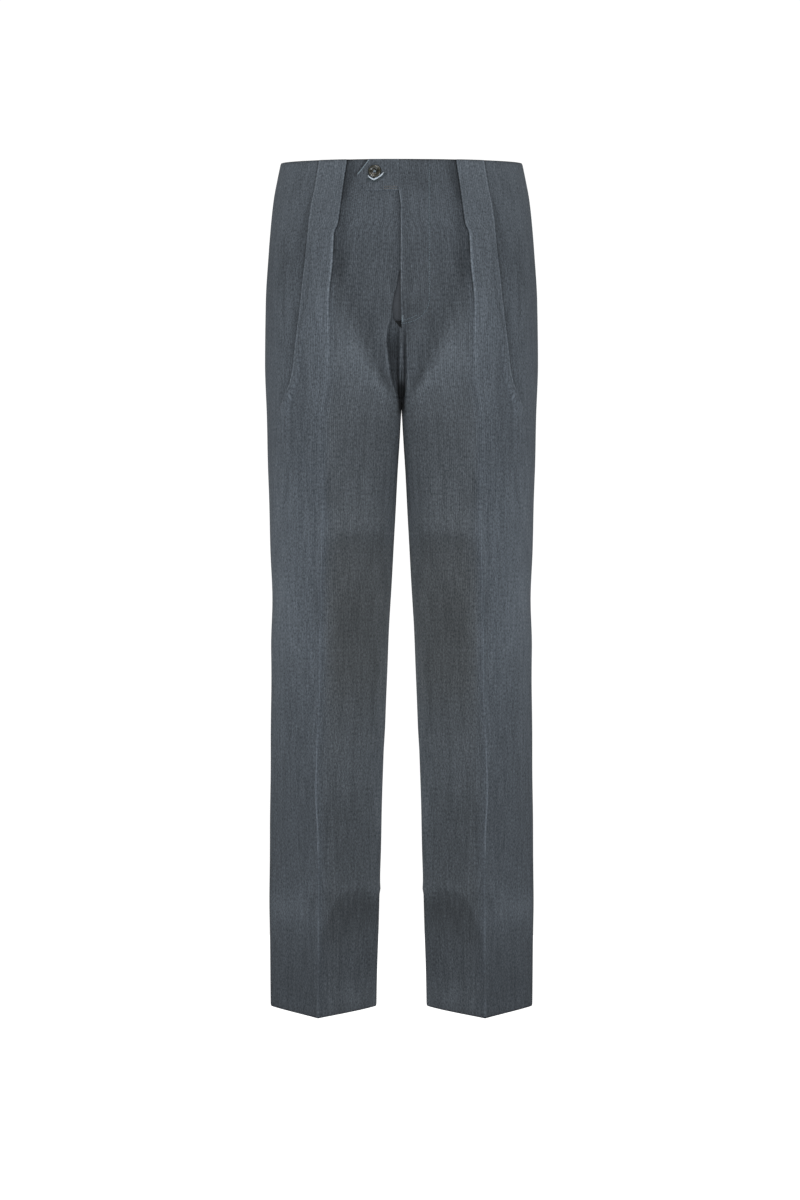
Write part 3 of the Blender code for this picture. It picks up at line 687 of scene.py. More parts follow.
def cloth_wall(name, points, faces, chart, looks, material, lining):
    """A wall of cloth round a grid of mid points, given in mm, with its own map and its looks:
    one number a point for each name. Its lining is the material inside."""
    made = mesh_object(name, points * MM, faces, material)
    made.data.materials.append(lining)
    add_map(made, "cloth", chart)
    for look, values in looks.items():
        values = np.broadcast_to(values, points.shape[:2]).astype(np.float32)
        made.data.attributes.new(look, "FLOAT", "POINT").data.foreach_set("value", values.ravel())
    wall = made.modifiers.new("cloth wall", "SOLIDIFY")
    wall.thickness, wall.offset = CLOTH * MM, 0.0
    wall.material_offset = 1
    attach(made, "root")
    return made


# Painted light and shade by depth: on the inside of the leg's crease, on the outside, and how
# much more painted light along the edge where the legs face each other. The colour is a little
# warmer on the inside, by the last column's share.
PAINTED_SHADING_COLUMNS = ("depth", "inside", "outside", "edge", "warm")
PAINTED_SHADING = [
    (0, 0.98, 1.22, 0.0, 0.0), (80, 0.97, 1.12, 0.0, 0.0), (140, 0.89, 0.99, 0.0, 0.1),
    (190, 0.95, 1.07, 0.0, 0.15), (260, 0.95, 1.06, 0.0, 0.15), (330, 0.97, 1.04, 0.0, 0.3),
    (400, 1.00, 1.12, 0.05, 0.32), (450, 0.98, 1.15, 0.44, 0.4), (500, 0.92, 1.17, 0.64, 0.65),
    (560, 0.88, 1.20, 0.92, 0.75), (600, 0.90, 1.18, 1.00, 0.75), (640, 0.91, 1.08, 1.00, 0.7),
    (690, 0.97, 1.00, 0.74, 0.45), (760, 1.04, 0.90, 0.52, 0.32), (810, 0.97, 0.84, 0.80, 0.32),
    (860, 0.91, 0.85, 0.32, 0.32), (900, 0.91, 0.87, 0.66, 0.35), (930, 0.84, 0.84, 0.10, 0.4),
    (965, 0.80, 0.77, 0.22, 0.3), (1000, 0.76, 0.70, 0.08, 0.2), (1055, 0.78, 0.69, 0.10, 0.2),
]
# How strong the painted highlight is along the inner fold and crease, and along the outer fold.
FOLD_HIGHLIGHT_COLUMNS = ("depth", "inner", "outer")
FOLD_HIGHLIGHT = [
    (0, 0.7, 1.0), (25, 0.5, 1.0), (46, 0.1, 1.0), (80, 0.1, 1.0), (98, 0.9, 1.0),
    (165, 1.0, 1.0), (190, 0.8, 1.0), (215, 0.55, 1.0), (262, 0.35, 1.0),
    (300, 0.25, 0.9), (312, 0.25, 0.6), (318, 0.25, 0.2), (326, 0.25, 0.0), (560, 0.22, 0.0),
    (700, 0.35, 0.0), (755, 0.9, 0.0), (835, 0.8, 0.0), (875, 0.35, 0.0), (1055, 0.3, 0.0),
]
# Painted shade, its gains and widths, along a seam's stitches, across the whole side seam, and
# along the waist's edge and the hem.
SEAM_SHADE, SEAM_WIDTH, SIDE_SHADE, SIDE_WIDTH, END_SHADE, END_WIDTH = -0.5, 2.2, -0.16, 8.0, -0.6, 1.4
# The painted tone and the warmth change at the crease over a width that grows below the pleat.
BLEND_WIDTH, BLEND_GROWN, BLEND_DEPTH, BLEND_SIDES = 4.0, 28.0, (400.0, 460.0), (-1.0, 0.6)
# Painted shade where the legs face each other, and painted light along that edge.
INNER_LEG_SHADE, INNER_LEG_TURN, INNER_LEG_FROM, INNER_EDGE_WIDTH = -0.5, 0.3, 30.0, 10.0


def painted_shading_and_warmth(form, s, seams):
    """The cord's looks: tone, its painted light and shade, and warm, how much warmer its colour is."""
    depth = form.depth[:, None]
    inside, outside, edge, warm = columns_at(PAINTED_SHADING, PAINTED_SHADING_COLUMNS, depth)
    blend = BLEND_WIDTH + (BLEND_GROWN - BLEND_WIDTH) * ease(depth, *BLEND_DEPTH)
    outer = ease((s - form.crease[:, None]) / blend, *BLEND_SIDES)
    tone = inside * (1 - outer) + outside * outer + soft_forms(form, s, "gain")
    tone = tone + END_SHADE * beside(np.minimum(depth, HEM - depth), END_WIDTH)
    legs = ease(depth, CROTCH, CROTCH + INNER_LEG_FROM) * (1 - outer)
    tone = tone + INNER_LEG_SHADE * legs * (1 - ease(np.abs(facing(form, s)), 0, INNER_LEG_TURN))
    from_seam = np.maximum(form.from_middle(s) - line("inseam", depth), 0)
    tone = tone + edge * legs * beside(from_seam, INNER_EDGE_WIDTH)
    for seam in seams:
        tone = tone + SEAM_SHADE * beside(s - seam, SEAM_WIDTH)
    tone = tone + SIDE_SHADE * bell(s - form.side[:, None], SIDE_WIDTH)
    return {"tone": tone, "warm": warm * (1 - outer)}


def panel(name, form, s, n, sink, across, looks, mirrored, material, lining):
    """A wall of cloth at (s, n) of the form, sunk back from it, mapped across and down the wales."""
    points = form.raised(s, n)
    points[..., 1] += sink
    points = points * np.array([-1 if mirrored else 1, 1, 1])
    down = np.broadcast_to(form.depth[:, None], s.shape)
    faces = grid_faces(*s.shape, flipped=mirrored)
    return cloth_wall(name, points, faces, np.stack([across, down], axis=-1), looks, material, lining)


# Rows are close round the crotch, and wide apart down the leg.
FRONT_ROWS = np.concatenate([
    [0, 0.7, 1.6], np.linspace(3, 196, 62), np.linspace(198, 326, 112), np.linspace(329, 430, 34),
    np.linspace(436, HEM - 3, 74), [HEM - 1.6, HEM - 0.7, HEM],
])
# Columns get closer towards the inner fold, less so down the leg, and towards the side seam.
CENTRE_COLUMNS, STRIP_COLUMNS, SIDE_COLUMNS = 76, 18, 36
CENTRE_POWERS, POWERS_DEPTH, SIDE_POWER = (1.55, 1.10), (330.0, 600.0), 1.25
FOLD_COLUMNS = 2 * FOLD_PARTS + 3 + len(FOLD_BESIDE)
# The first column of each fold's turn up to the strip, on the inside and on the outside.
INNER_BEND = CENTRE_COLUMNS + FOLD_PARTS + 2
OUTER_BEND = CENTRE_COLUMNS + FOLD_COLUMNS + STRIP_COLUMNS - 1 + len(FOLD_BESIDE)


def front_columns(form, half):
    """A front's grid: (s, n) from its centre edge over the inner fold, the strip of the pleat and
    the outer fold to the side seam. The strip lies two plies up."""
    depth = form.depth
    inner_s, inner_n = fold(INNER_FOLD, depth)
    outer_s, outer_n = fold(OUTER_FOLD, depth)
    inner_s = form.crease[:, None] + inner_s
    outer_s, outer_n = form.fold[:, None] - outer_s[:, ::-1], outer_n[:, ::-1]
    high, low = CENTRE_POWERS
    power = high + (low - high) * ease(depth[:, None], *POWERS_DEPTH)
    centre = between(-line("lap", depth, half), inner_s[:, 0], CENTRE_COLUMNS, power)
    strip = between(inner_s[:, -1], outer_s[:, 0], STRIP_COLUMNS)[:, 1:]
    flank = between(form.side, outer_s[:, -1], SIDE_COLUMNS, SIDE_POWER)[:, ::-1]
    heights = [0 * centre, inner_n, 0 * strip + inner_n[:, -1:], outer_n, 0 * flank]
    s = np.concatenate([centre, inner_s, strip, outer_s, flank], axis=1)
    return s, np.concatenate(heights, axis=1)


# The strip is painted a little lighter than the rest until the pleat has opened. Its edges get
# a painted highlight where they are pressed, and the cloth under them a painted shadow until each
# fold opens.
STRIP_LIGHT, STRIP_FADE = 0.17, (250.0, 370.0)
PRESSED_HIGHLIGHT, PRESSED_WIDTH, PRESSED_IN = 0.75, 1.0, 0.8
PRESSED_TURN, CREASE_TURN = (18.0, 108.0), 36.0  # turned by less than this, the fold is a crease
UNDER_EDGE_SHADOW, UNDER_WIDTH, UNDER_INNER, UNDER_OUTER = -0.75, 2.0, (148.0, 176.0), (290.0, 320.0)


def pleat_painted_shading(form, s):
    """The pleat's painted light and shade: painted highlights exp(-(gap/w)²) just inside the strip's
    edges, and painted shadow exp(-gap/w) under them."""
    depth, column = form.depth[:, None], np.arange(s.shape[1])[None, :]
    turn = smooth(INNER_FOLD, LINES_COLUMNS["fold"], "turn", depth)
    inner_edge = s[:, INNER_BEND : INNER_BEND + FOLD_PARTS].min(axis=1, keepdims=True)
    outer_edge = s[:, OUTER_BEND : OUTER_BEND + FOLD_PARTS].max(axis=1, keepdims=True)
    on_strip = (column >= INNER_BEND) & (column <= OUTER_BEND + FOLD_PARTS)
    inner_gap = s - inner_edge - PRESSED_IN * ease(turn, *PRESSED_TURN)
    outer_gap = outer_edge - s - PRESSED_IN
    inner, outer = columns_at(FOLD_HIGHLIGHT, FOLD_HIGHLIGHT_COLUMNS, depth)
    inner = inner * bell(inner_gap, PRESSED_WIDTH) * (on_strip | (turn < CREASE_TURN))
    outer = outer * bell(outer_gap, PRESSED_WIDTH) * on_strip
    tone = STRIP_LIGHT * (1 - ease(depth, *STRIP_FADE)) * on_strip + PRESSED_HIGHLIGHT * (inner + outer)
    under_inner = (column < INNER_BEND) * (1 - ease(depth, *UNDER_INNER))
    under_outer = (column >= OUTER_BEND + FOLD_PARTS) * (1 - ease(depth, *UNDER_OUTER))
    tone = tone + UNDER_EDGE_SHADOW * under_inner * beside(s - inner_edge, UNDER_WIDTH)
    return tone + UNDER_EDGE_SHADOW * under_outer * beside(s - outer_edge, UNDER_WIDTH)


# The hollow has painted shade, darker as it goes in, a painted highlight along its edge once that
# is sharp, and the darkest painted shade round the crotch itself. The depths of a shade are where
# it begins, is whole, and ends.
HOLLOW_SHADE, HOLLOW_RIM_HIGHLIGHT, RIM_OUT, RIM_DROPS = -0.03, 0.25, 1.6, (3.0, 9.0)
CROTCH_SHADE, CROTCH_SHADE_DEPTH, CROTCH_SHADE_WIDE = -1.3, (272.0, 296.0, 307.0, 328.0), 3.3


def hollow_painted_shading(form, s, half):
    """The hollow's painted light and shade: painted shade times its depth, a painted highlight
    beside its edge, and a bell of painted shade round the crotch."""
    x, depth = form.from_middle(s), form.depth[:, None]
    edge, drop = columns_at(HOLLOW[half], HOLLOW_COLUMNS, depth)
    rim = HOLLOW_RIM_HIGHLIGHT * bell(x - edge - RIM_OUT, PRESSED_WIDTH) * ease(drop, *RIM_DROPS)
    shade = CROTCH_SHADE * within(depth, *CROTCH_SHADE_DEPTH)
    shade = shade * bell(x - line("inseam", depth), CROTCH_SHADE_WIDE)
    return HOLLOW_SHADE * crotch_hollow(form, s, half) + rim * (s < form.crease[:, None]) + shade


# The waist tab lies on the right front, which has a painted shadow along the tab's slanted edge.
TAB_TIP_X, TAB_SHOULDER_X, TAB_ROOT_X = 53.9, 39.7, 3.05
TAB_DEPTH, TAB_TIP_DEPTH, TAB_TIP_BLUNT, TAB_LOWER_ROUND = 46.0, 21.5, 1.5, 0.8
UNDER_TAB_SHADOW, UNDER_TAB_IN, UNDER_TAB_WIDTH, UNDER_TAB_ENDS = -0.55, 1.8, 1.9, (-2.0, 4.0)
# The fly's edge shows from below the tab to its foot. The left front's edge is turned in and
# pressed, with a painted highlight along it, fainter lower down, and painted shade lies on that
# front on the lower part of the fly.
FLY_SHOWS = (40.0, 48.0) + LAP_CLOSING
FLY_DIP, FLY_DIP_WIDTH = 0.45, 0.8
FLY_HIGHLIGHT, FLY_PRESSED_WIDTH, FLY_EASED, FLY_EASED_DEPTH = 0.9, 1.3, 0.8, (165.0, 200.0)
FLY_SHADE, FLY_SHADE_DEPTH = -0.22, (172.0, 200.0, 262.0, 292.0)
FLY_SHADE_X, FLY_SHADE_WIDE = 6.0, 11.0


def fly_painted_shading(form, s, half):
    """Painted light and shade at the fly: painted shadow under its edge and the tab's on the right
    front, and a painted highlight along its pressed edge and painted shade on the left one."""
    depth = form.depth[:, None]
    shows, edge = within(depth, *FLY_SHOWS), line("lap", depth, "left")
    if half == "right":
        slant = TAB_SHOULDER_X + (TAB_TIP_X - TAB_SHOULDER_X) * depth / TAB_TIP_DEPTH
        first, last = UNDER_TAB_ENDS
        past_tab = (s > slant) * (1 - ease(depth - TAB_TIP_DEPTH, first, last))
        shade = UNDER_TAB_SHADOW * past_tab * bell(s - slant - UNDER_TAB_IN, UNDER_TAB_WIDTH)
        return UNDER_EDGE_SHADOW * shows * beside(s - edge, UNDER_WIDTH) + shade
    pressed = FLY_HIGHLIGHT * shows * (1 - FLY_EASED * ease(depth, *FLY_EASED_DEPTH))
    shade = FLY_SHADE * within(depth, *FLY_SHADE_DEPTH) * bell(s - FLY_SHADE_X, FLY_SHADE_WIDE)
    return pressed * bell(s + edge, FLY_PRESSED_WIDTH) + shade


# The crotch seam's ridge closes it between these depths. The tuck at the inseam grows below it.
SEAM_CLOSED, SEAM_RIDGE, CLOSED_ENDS, TUCK_GROWS = 0.85, 1.5, (CROTCH - 2, CROTCH + 6), 60.0
FRONT_CLOSED = (FLY_FOOT, FLY_FOOT + 8) + CLOSED_ENDS
NO_SEAM = -1e3  # so far off that nothing of it shows
CREASE_COOL, LEAST_TONE = 6.0, 0.1


def front(name, mirrored, material, lining):
    """A front, on its columns: h = soft relief - edge roll + the seam's ridge, and for the left
    one the lap over the fly, with the edge's dip."""
    form, half = Form(FRONT_ROWS), "right" if mirrored else "left"
    s, n = front_columns(form, half)
    depth, side, crease = form.depth[:, None], form.side[:, None], form.crease[:, None]
    start = s[:, :1]
    sewn = np.where(depth > FLY_FOOT, start, NO_SEAM)
    tuck = SEAM_TUCK * ease(depth, CROTCH, CROTCH + TUCK_GROWS)
    n = n - CLOTH / 2 + soft_relief(form, s, [(sewn, tuck), (side, SEAM_TUCK)]) - edge_roll(form)
    n = n + SEAM_CLOSED * within(depth, *FRONT_CLOSED) * bell(s, SEAM_RIDGE)
    if half == "left":
        n = n + LAY * (1 - ease(depth, *LAP_CLOSING)) * (1 - ease(s, LAP_OVER, LAP_DOWN))
        n = n - FLY_DIP * within(depth, *FLY_SHOWS) * beside(s - start, FLY_DIP_WIDTH)
    # The cord's painted light and shade, with those of the pleat, the hollow and the fly added below.
    looks = painted_shading_and_warmth(form, s, [np.where(depth > CROTCH, start, NO_SEAM), side])
    tone = looks["tone"] + pleat_painted_shading(form, s) + hollow_painted_shading(form, s, half)
    looks["tone"] = np.maximum(tone, LEAST_TONE) + fly_painted_shading(form, s, half)
    looks["warm"] = looks["warm"] * (1 - bell(s - crease, CREASE_COOL))
    across = s - crease  # the wales run with the crease
    sink = crotch_hollow(form, s, half)
    return panel(name, form, s, n, sink, across, looks, mirrored, material, lining)


# Needlecord: cotton, with cut pile in rows down the cloth. The wales catch the light and the
# grooves between them stay dark. The pile lies down unevenly, in fine tufts and in long
# streaks like a wood's grain, and a wale wanders a little on its way down. The real wales are
# 1.8 mm apart, and they are drawn at 2.4 mm so that they show. Two numbers are a pattern's
# sizes across and down the cloth.
WALE, PILE_DEEP = 2.4, 0.3
TUFT, STREAK = (1.85, 3.33), (6.7, 62.0)
WANDER, WANDER_REACH = 16.7, 1.6


def scale_of(across, down):
    """The scale of a pattern on a map in metres, from its sizes in mm: 1 / size."""
    return 1 / (across * MM), 1 / (down * MM), 1.0


def needlecord(name, cool, warm, groove):
    """Cord from its two colours and its grooves' share of them: |sin(πu/wale)| across the cloth,
    times the tufts and streaks, times the piece's own tone, which holds painted light and shade."""
    made, tree, output = new_material(name)
    chart = node(tree, "UVMap", uv_map="cloth").outputs["UV"]
    wander = node(tree, "TexNoise", {"Vector": chart, "Scale": 1 / (WANDER * MM), "Detail": 3.0})
    split = node(tree, "SeparateXYZ", {"Vector": chart})
    shift = node(tree, "Math", {0: wander.outputs["Fac"], 1: WANDER_REACH * MM}, operation="MULTIPLY")
    across = node(tree, "Math", {0: split.outputs["X"], 1: shift.outputs[0]}, operation="ADD")
    turn = node(tree, "Math", {
        0: across.outputs[0], 1: math.pi / (WALE * MM),
    }, operation="MULTIPLY")
    wave = node(tree, "Math", {0: turn.outputs[0]}, operation="SINE")
    rib = node(tree, "Math", {0: wave.outputs[0]}, operation="ABSOLUTE")
    tuft_chart = node(tree, "Mapping", {"Vector": chart, "Scale": scale_of(*TUFT)})
    tuft = node(tree, "TexNoise", {
        "Vector": tuft_chart.outputs[0], "Scale": 1.0, "Detail": 3.0, "Roughness": 0.7,
    })
    streak_chart = node(tree, "Mapping", {"Vector": chart, "Scale": scale_of(*STREAK)})
    streak = node(tree, "TexNoise", {
        "Vector": streak_chart.outputs[0], "Scale": 1.0, "Detail": 3.0, "Distortion": 1.6,
    })
    ribs = node(tree, "MapRange", {"Value": rib.outputs[0], "From Max": 0.8, "To Min": groove})
    tufts = node(tree, "MapRange", {
        "Value": tuft.outputs["Fac"], "From Min": 0.25, "From Max": 0.75,
        "To Min": 0.35, "To Max": 1.65,
    })
    streaks = node(tree, "MapRange", {
        "Value": streak.outputs["Fac"], "From Min": 0.3, "From Max": 0.7,
        "To Min": 0.82, "To Max": 1.18,
    })
    tone = node(tree, "Attribute", attribute_name="tone").outputs["Fac"]
    for layer in (ribs, tufts, streaks):
        tone = node(tree, "Math", {0: tone, 1: layer.outputs[0]}, operation="MULTIPLY").outputs[0]
    warmth = node(tree, "Attribute", attribute_name="warm").outputs["Fac"]
    dye = node(tree, "Mix", {
        "Factor": warmth, "A": linear(cool), "B": linear(warm),
    }, data_type="RGBA")
    dyed = node(tree, "VectorMath", {0: dye.outputs["Result"], "Scale": tone}, operation="SCALE")
    height = node(tree, "Math", {0: rib.outputs[0], 1: tuft.outputs["Fac"]}, operation="ADD")
    bump = node(tree, "Bump", {
        "Height": height.outputs[0], "Strength": 0.4, "Distance": PILE_DEEP * MM,
    })
    surface = node(tree, "BsdfPrincipled", {
        "Base Color": dyed.outputs[0], "Roughness": 0.9, "Specular IOR Level": 0.18,
        "Sheen Weight": 0.06, "Sheen Roughness": 0.5, "Sheen Tint": linear("#c9d3dc"),
        "Normal": bump.outputs[0],
    })
    tree.links.new(surface.outputs["BSDF"], output.inputs["Surface"])
    return made


# Plain cotton: the cord's wrong side, and the shield. It is flat and matt, with a fine slub.
SLUB, SLUB_DEEP = 1.1, 0.3


def plain_cotton(name, shade):
    """Plain weave of one dye: fine noise in its tone and its bumps, times the piece's own tone, which
    holds painted light and shade.
    """
    made, tree, output = new_material(name)
    place = node(tree, "TexCoord").outputs["Object"]
    weave = node(tree, "TexNoise", {"Vector": place, "Scale": 1 / (SLUB * MM), "Detail": 2.0})
    tone = node(tree, "MapRange", {
        "Value": weave.outputs["Fac"], "From Min": 0.25, "From Max": 0.75,
        "To Min": 0.82, "To Max": 1.18,
    })
    own = node(tree, "Attribute", attribute_name="tone").outputs["Fac"]
    tone = node(tree, "Math", {0: tone.outputs[0], 1: own}, operation="MULTIPLY")
    dyed = node(tree, "VectorMath", {0: linear(shade)[:3], "Scale": tone.outputs[0]}, operation="SCALE")
    bump = node(tree, "Bump", {
        "Height": weave.outputs["Fac"], "Strength": 0.3, "Distance": SLUB_DEEP * MM,
    })
    surface = node(tree, "BsdfPrincipled", {
        "Base Color": dyed.outputs[0], "Roughness": 0.95, "Specular IOR Level": 0.15,
        "Normal": bump.outputs[0],
    })
    tree.links.new(surface.outputs["BSDF"], output.inputs["Surface"])
    return made


cord = needlecord("slate needlecord", "#51575d", "#525556", 0.70)
wrong_side = plain_cotton("cord's wrong side", "#4a4f54")

front_left = front("front_left_cloth", False, cord, wrong_side)
front_right = front("front_right_cloth", True, cord, wrong_side)
for piece, cad in ((front_left, "front_left"), (front_right, "front_right")):
    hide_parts(cad)

# ------------------------------------------------------------------------------------------
# The backs: one piece each, sewn to the fronts at the side seam and the inseam, and to each
# other at the centre back down to the crotch. They are plain, with a pressed crease.
# ------------------------------------------------------------------------------------------
BACK_ROWS = np.concatenate([
    [0, 0.7, 1.6], np.linspace(3, 430, 150), np.linspace(434, HEM - 3, 128),
    [HEM - 1.6, HEM - 0.7, HEM],
])
BACK_COLUMNS, CLOSER = 128, 0.16
CREASE_RIDGE, CREASE_WIDTH, CREASE_FROM = 0.6, 1.6, (190.0, 300.0)
# Depths between which the seam has no tuck, and between which its ridge closes it.
UNTUCKED, BACK_CLOSED = (190.0, 230.0, CROTCH, CROTCH + TUCK_GROWS), (205.0, 235.0) + CLOSED_ENDS


def back(name, mirrored, material, lining):
    """A back: columns from the side seam to the inner seam at t - c sin(2πt)/2π of the way, which
    is closer beside each seam. h = soft relief - edge roll + the crease's and the seam's ridges."""
    form = Form(BACK_ROWS)
    depth, side, end = form.depth[:, None], form.side[:, None], form.end[:, None]
    t = np.linspace(0, 1, BACK_COLUMNS)[None, :]
    s = side + (end - side) * (t - CLOSER * np.sin(2 * math.pi * t) / (2 * math.pi))
    across = s - form.back_crease[:, None]
    tuck = SEAM_TUCK * (1 - within(depth, *UNTUCKED))
    n = -CLOTH / 2 + soft_relief(form, s, [(side, SEAM_TUCK), (end, tuck)]) - edge_roll(form)
    n = n + CREASE_RIDGE * ease(depth, *CREASE_FROM) * bell(across, CREASE_WIDTH)
    n = n + SEAM_CLOSED * within(depth, *BACK_CLOSED) * bell(s - end, SEAM_RIDGE)
    # The cord's painted light and shade, and its warmth.
    looks = painted_shading_and_warmth(form, s, [side, end])
    return panel(name, form, s, n, 0, across, looks, mirrored, material, lining)


back_left = back("back_left_cloth", False, cord, wrong_side)
back_right = back("back_right_cloth", True, cord, wrong_side)
for piece, cad in ((back_left, "back_left"), (back_right, "back_right")):
    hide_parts(cad)

# ------------------------------------------------------------------------------------------
# The fly shield: a strip of plain dark cotton sewn behind the fly, which shows only as a
# sliver beside the fly's lower end.
# ------------------------------------------------------------------------------------------
SHIELD_REACH, SHIELD_BACK, SHIELD_TOP, SHIELD_FOOT, SHIELD_ROUND = 36.0, 15.0, 3.0, 212.0, 22.0
SHIELD_SHADES, SHIELD_SHADE_WIDTH, SHIELD_GRID = (-0.35, -0.2), 1.6, (42, 90)


def patch(name, s, depth, n, tone, material, lining):
    """Cloth on a grid of its own distances, depths and heights, that follows the fronts' form."""
    rows = Form(depth.ravel())
    s1 = s.reshape(-1, 1)
    n1 = n.reshape(-1, 1) + soft_relief(rows, np.abs(s1), [])
    points = rows.raised(s1, n1)
    points[..., 1] += crotch_hollow(rows, np.abs(s1), "right")
    points, chart = points.reshape(s.shape + (3,)), np.stack([s, depth], axis=-1)
    looks = {"tone": tone, "warm": 0.0}
    return cloth_wall(name, points, grid_faces(*s.shape), chart, looks, material, lining)


# Its foot is rounded at the outer corner, and it has painted shadow on both sides of the sliver,
# beside the edges of the fronts that lie on it.
shield_cloth = plain_cotton("fly shield cotton", "#43464a")
across = np.linspace(-SHIELD_BACK, SHIELD_REACH, SHIELD_GRID[0])
past = np.clip(1 - (SHIELD_REACH - across) / SHIELD_ROUND, 0, 1)
foot = SHIELD_FOOT - SHIELD_ROUND * (1 - np.sqrt(1 - past * past))
down = np.linspace(0, 1, SHIELD_GRID[1])[:, None]
depth = SHIELD_TOP + (foot - SHIELD_TOP)[None, :] * down
s = np.broadcast_to(across[None, :], depth.shape)
under = np.full(s.shape, -PLY - CLOTH / 2)
gaps = (s - line("lap", depth, "right"), s + line("lap", depth, "left"))
shades = [gain * beside(gap, SHIELD_SHADE_WIDTH) for gain, gap in zip(SHIELD_SHADES, gaps)]
shield = patch("fly_shield_cloth", s, depth, under, 1 + sum(shades), shield_cloth, shield_cloth)
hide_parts("fly_shield")

# ------------------------------------------------------------------------------------------
# The waist tab: a pointed extension of the left front in the same cord, which closes the
# waist over the right front. Its edges are turned in, with a painted highlight along them.
# ------------------------------------------------------------------------------------------
TAB_EDGE, TAB_EDGE_WIDTH, TAB_EDGE_HIGHLIGHT, TAB_HIGHLIGHT_WIDTH = 0.5, 1.0, 0.18, 1.2
BUTTON_X, BUTTON_DEPTH = -32.0, 16.6
BUTTON_PRESS, BUTTON_PRESS_WIDE = 0.3, 9.0  # how far the button presses the tab in
# Its columns are closer at the tip, and its rows at both edges.
TAB_TIP_COLUMNS, TAB_COLUMNS = [0, 0.4, 0.9, 1.6, 2.6], 70
TAB_ROWS = np.concatenate([
    [0, 0.008, 0.02, 0.04], np.linspace(0.07, 0.93, 36), [0.96, 0.98, 0.992, 1],
])[:, None]


def tab_outline(s):
    """The tab's top and bottom depths at distances s from the centre line. With u from the tip
    to the shoulder, its top is slanted, a(1 - u), and its bottom round, b + c sin(πu/2)^r."""
    back = np.clip((TAB_TIP_X - s) / (TAB_TIP_X - TAB_SHOULDER_X), 0, 1)
    low = TAB_TIP_DEPTH + TAB_TIP_BLUNT
    bottom = low + (TAB_DEPTH - low) * np.sin(back * math.pi / 2) ** TAB_LOWER_ROUND
    return (TAB_TIP_DEPTH - TAB_TIP_BLUNT) * (1 - back), bottom


s = np.linspace(TAB_TIP_X - 4, TAB_ROOT_X, TAB_COLUMNS)
s = np.concatenate([TAB_TIP_X - np.array(TAB_TIP_COLUMNS), s])[None, :]
top, bottom = tab_outline(s)
depth = top + (bottom - top) * TAB_ROWS
s = np.broadcast_to(s, depth.shape)
slant = (depth - top) * math.cos(math.atan2(TAB_TIP_DEPTH, TAB_TIP_X - TAB_SHOULDER_X))
from_top = np.where(s > TAB_SHOULDER_X, slant, depth)
edge = np.minimum(from_top, np.minimum(bottom - depth, TAB_TIP_X - s))
press = bell(s + BUTTON_X, BUTTON_PRESS_WIDE) * bell(depth - BUTTON_DEPTH, BUTTON_PRESS_WIDE)
n = LAY - CLOTH / 2 - TAB_EDGE * beside(edge, TAB_EDGE_WIDTH) - BUTTON_PRESS * press
# A painted highlight along the tab's edges.
tone = 1 + TAB_EDGE_HIGHLIGHT * bell(edge, TAB_HIGHLIGHT_WIDTH)
tab = patch("waist_tab_cloth", -s, depth, n, tone, cord, wrong_side)
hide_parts("waist_tab")

# ------------------------------------------------------------------------------------------
# The sewing, in mercerised cotton thread: the fly's topstitching with a bar tack at its foot,
# overcasting on the tab's slanted edge, and two rows along its lower edge. Each stitch is a
# short round thread that dips into the cloth at both ends.
# ------------------------------------------------------------------------------------------
THREAD_SIDES, STITCH_POINTS, AXES_STEP = 7, 7, 1.0
STITCH_RISE, STITCH_DIP, STITCH_TAPER = 0.75, 1.1, 0.75


def on_cloth(s, depth, n):
    """Places n above the form, and their axes: across, down the cloth, and out of it."""
    s, depth, n = (np.asarray(value, float) for value in np.broadcast_arrays(s, depth, n))

    def at(across, down):
        rows = Form(depth + down)
        column = (s + across)[:, None]
        points = rows.raised(column, n[:, None] + soft_relief(rows, np.abs(column), []))
        points[..., 1] += crotch_hollow(rows, np.abs(column), "left")
        return points[:, 0]

    side = at(AXES_STEP, 0) - at(-AXES_STEP, 0)
    down = at(0, AXES_STEP) - at(0, -AXES_STEP)
    side /= np.linalg.norm(side, axis=1, keepdims=True)
    out = np.cross(down, side)
    out /= np.linalg.norm(out, axis=1, keepdims=True)
    return at(0, 0), side, np.cross(side, out), out


def thread_mesh(name, centre, radius, around, material):
    """Round threads along rows of centre points (thread, point, xyz), all in one mesh. Its ring
    at a point is radius (cos a, sin a) on the two axes given there; both ends are capped."""
    count, points = centre.shape[:2]
    turn = np.linspace(0, 2 * math.pi, THREAD_SIDES, endpoint=False)
    across, up = around
    across, up = across[:, :, None, :], up[:, :, None, :]
    ring = np.cos(turn)[:, None] * across + np.sin(turn)[:, None] * up
    ring = centre[:, :, None, :] + radius[None, :, None, None] * ring
    index = np.arange(points * THREAD_SIDES).reshape(points, THREAD_SIDES)
    after = np.roll(index, -1, axis=1)
    sides = np.stack([index[:-1], after[:-1], after[1:], index[1:]], axis=-1).reshape(-1, 4)
    offset = points * THREAD_SIDES * np.arange(count)[:, None]
    faces = (sides[None] + offset[:, :, None]).reshape(-1, 4).tolist()
    faces += (index[0][::-1] + offset).tolist() + (index[-1] + offset).tolist()
    made = mesh_object(name, ring * MM, faces, material)
    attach(made, "root")
    return made


